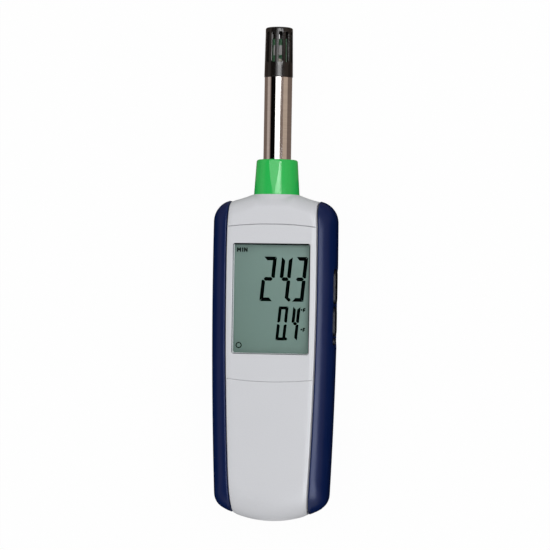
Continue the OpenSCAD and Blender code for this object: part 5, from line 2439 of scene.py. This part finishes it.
@dataclass
class Studio:
    """A pale floor, a plain sky, soft lamps, and cards that only gloss and bright metal reflect."""

    floor_half: float = 3.0
    floor_tone: Colour = (0.86, 0.86, 0.86)
    floor_bounce: Colour = (0.5, 0.5, 0.5)
    floor_glow: float = 0.965
    sky: float = 0.55
    centre: Vector = Vector((0.0, 0.0, 0.015))
    card_far: float = 1.6
    card_steps: int = 8
    table_reach: Pair = (0.012, 1.6)
    table_z: float = 0.0004

    @staticmethod
    def _seen(tree: Tree) -> Socket:
        """Whether a ray comes from the camera, gloss or glass.

        Args:
            tree: The tree that asks.

        Returns:
            1 for such a ray, and 0 for any other.
        """
        rays = tree.add("ShaderNodeLightPath").outputs
        return tree.math("MAXIMUM", rays["Is Camera Ray"],
                         tree.math("MAXIMUM", rays["Is Glossy Ray"], rays["Is Transmission Ray"]))

    @staticmethod
    def _sheet(name: str, corners: Sequence[tuple[float, ...]], faces: Sequence[tuple[int, ...]],
               material_name: str) -> tuple[Object, Tree]:
        """Add a sheet that belongs to the studio, with an empty material.

        Args:
            name: Name of the sheet.
            corners: Its corners, in metres.
            faces: Its faces.
            material_name: Name of its material.

        Returns:
            The sheet and its material's tree.
        """
        mesh = bpy.data.meshes.new(name)
        mesh.from_pydata(list(corners), [], list(faces))
        material = bpy.data.materials.new(material_name)
        mesh.materials.append(material)
        sheet = new_object(name, mesh)
        return sheet, Tree.of(material)

    def _floor(self) -> None:
        """A pale floor that keeps the object's shadow and can be seen through from below."""
        h = self.floor_half
        _, t = self._sheet("floor", [(-h, -h, 0), (h, -h, 0), (h, h, 0), (-h, h, 0)], [(0, 1, 2, 3)],
                           "pale_floor")
        seen = self._seen(t)
        paint = t.node("ShaderNodeBsdfDiffuse",
                       {"Color": t.mix(seen, self.floor_bounce, self.floor_tone)})
        lit = t.node("ShaderNodeMixShader", {0: t.times(seen, self.floor_glow), 1: paint,
                                             2: t.node("ShaderNodeEmission", {})})
        below = t.node("ShaderNodeMixShader", {
            0: t.add("ShaderNodeNewGeometry").outputs["Backfacing"], 1: lit,
            2: t.node("ShaderNodeBsdfTransparent", {})})
        t.show("ShaderNodeOutputMaterial", below)

    def _sky(self) -> None:
        """An even sky, white where it is seen directly."""
        world = bpy.data.worlds.new("even_sky")
        bpy.context.scene.world = world
        t = Tree.of(world)
        strength = t.plus(t.times(self._seen(t), 1 - self.sky), self.sky)
        t.show("ShaderNodeOutputWorld", t.node("ShaderNodeBackground", {"Strength": strength,
                                                                        "Color": (*WHITE, 1.0)}))

    def _lamp(self, lamp: Lamp) -> None:
        """Add a lamp that faces the object.

        Args:
            lamp: The lamp.
        """
        light = bpy.data.lights.new(lamp.name, "AREA")
        light.shape = "RECTANGLE"
        light.size, light.size_y = lamp.size
        light.energy = lamp.watts
        obj = new_object(lamp.name, light)
        obj.location = lamp.place
        obj.visible_glossy = False
        obj.rotation_euler = (self.centre - Vector(lamp.place)).to_track_quat("-Z", "Y").to_euler()

    def _card(self, card: Card) -> None:
        """Bend a card over the object at its angles, or lay it on both sides as a table top.

        Args:
            card: The card.
        """
        if card.angles is None:
            corners = [(side * x, y, self.table_z) for side in (-1, 1) for x in self.table_reach
                       for y in card.along]
            faces = [(0, 1, 3, 2), (4, 5, 7, 6)]
        else:
            corners = [(self.card_far * math.sin(a), y, self.centre.z + self.card_far * math.cos(a))
                       for a in np.radians(np.linspace(*card.angles, self.card_steps + 1))
                       for y in card.along]
            faces = [(2 * i, 2 * i + 1, 2 * i + 3, 2 * i + 2) for i in range(self.card_steps)]
        sheet, t = self._sheet(card.name, corners, faces, card.name)
        t.show("ShaderNodeOutputMaterial", t.node("ShaderNodeEmission", {"Color": (*card.tone, 1.0),
                                                                         "Strength": card.strength}))
        sheet.visible_camera = sheet.visible_diffuse = sheet.visible_shadow = False
        sheet.visible_transmission = card.through_lens

    def build(self) -> None:
        """Set up the floor, the sky, the lamps and the cards."""
        self._floor()
        self._sky()
        for lamp in LAMPS:
            self._lamp(lamp)
        for card in CARDS:
            self._card(card)
        log.info("studio: floor, sky, %d lamps and %d cards", len(LAMPS), len(CARDS))


@dataclass
class PhotoCamera:
    """The camera at the photograph's place, over the front and turned towards the key side."""

    distance: float = 1.0
    yaw: float = 9.0
    roll: float = 0.92
    covers: float = 0.2828
    sensor: float = 36.0
    target: Vector = Vector((-0.00026, -0.00042, 0.015))

    def build(self) -> None:
        """Place the camera."""
        camera = bpy.data.cameras.new("photo_camera")
        camera.sensor_width = self.sensor
        camera.lens = self.sensor * self.distance / self.covers
        camera.clip_start, camera.clip_end = 0.05, 50.0
        obj = new_object("photo_camera", camera)
        yaw, roll = math.radians(self.yaw), math.radians(self.roll)
        back = Vector((math.sin(yaw), 0.0, math.cos(yaw)))
        right = Vector((math.cos(yaw), 0.0, -math.sin(yaw)))
        up = back.cross(right)
        right, up = (right * math.cos(roll) + up * math.sin(roll),
                     up * math.cos(roll) - right * math.sin(roll))
        turn = Matrix((right, up, back)).transposed().to_4x4()
        obj.matrix_world = Matrix.Translation(self.target + back * self.distance) @ turn
        bpy.context.scene.camera = obj
        log.info("camera: %.0f mm lens at %.2f m", camera.lens, self.distance)


def main() -> None:
    """Build every sub-assembly in order."""
    logging.basicConfig(level=logging.INFO, format="%(name)s: %(message)s")
    bpy.context.scene.view_settings.view_transform = "Standard"
    PhotoCamera().build()
    Studio().build()
    finishes = Finishes()
    case = Case(finishes)
    case.build()
    keys = Keys(finishes)
    keys.build()
    Grip(finishes, right=False).build(keys)
    Grip(finishes, right=True).build(keys)
    for piece in (DisplayPanel(finishes, case), Readings(finishes), Collar(finishes),
                  Tube(finishes), SensorCap(finishes), BatteryDoor(finishes),
                  Screws(finishes, case), Insides(finishes)):
        piece.build()


if __name__ == "__main__":
    main()
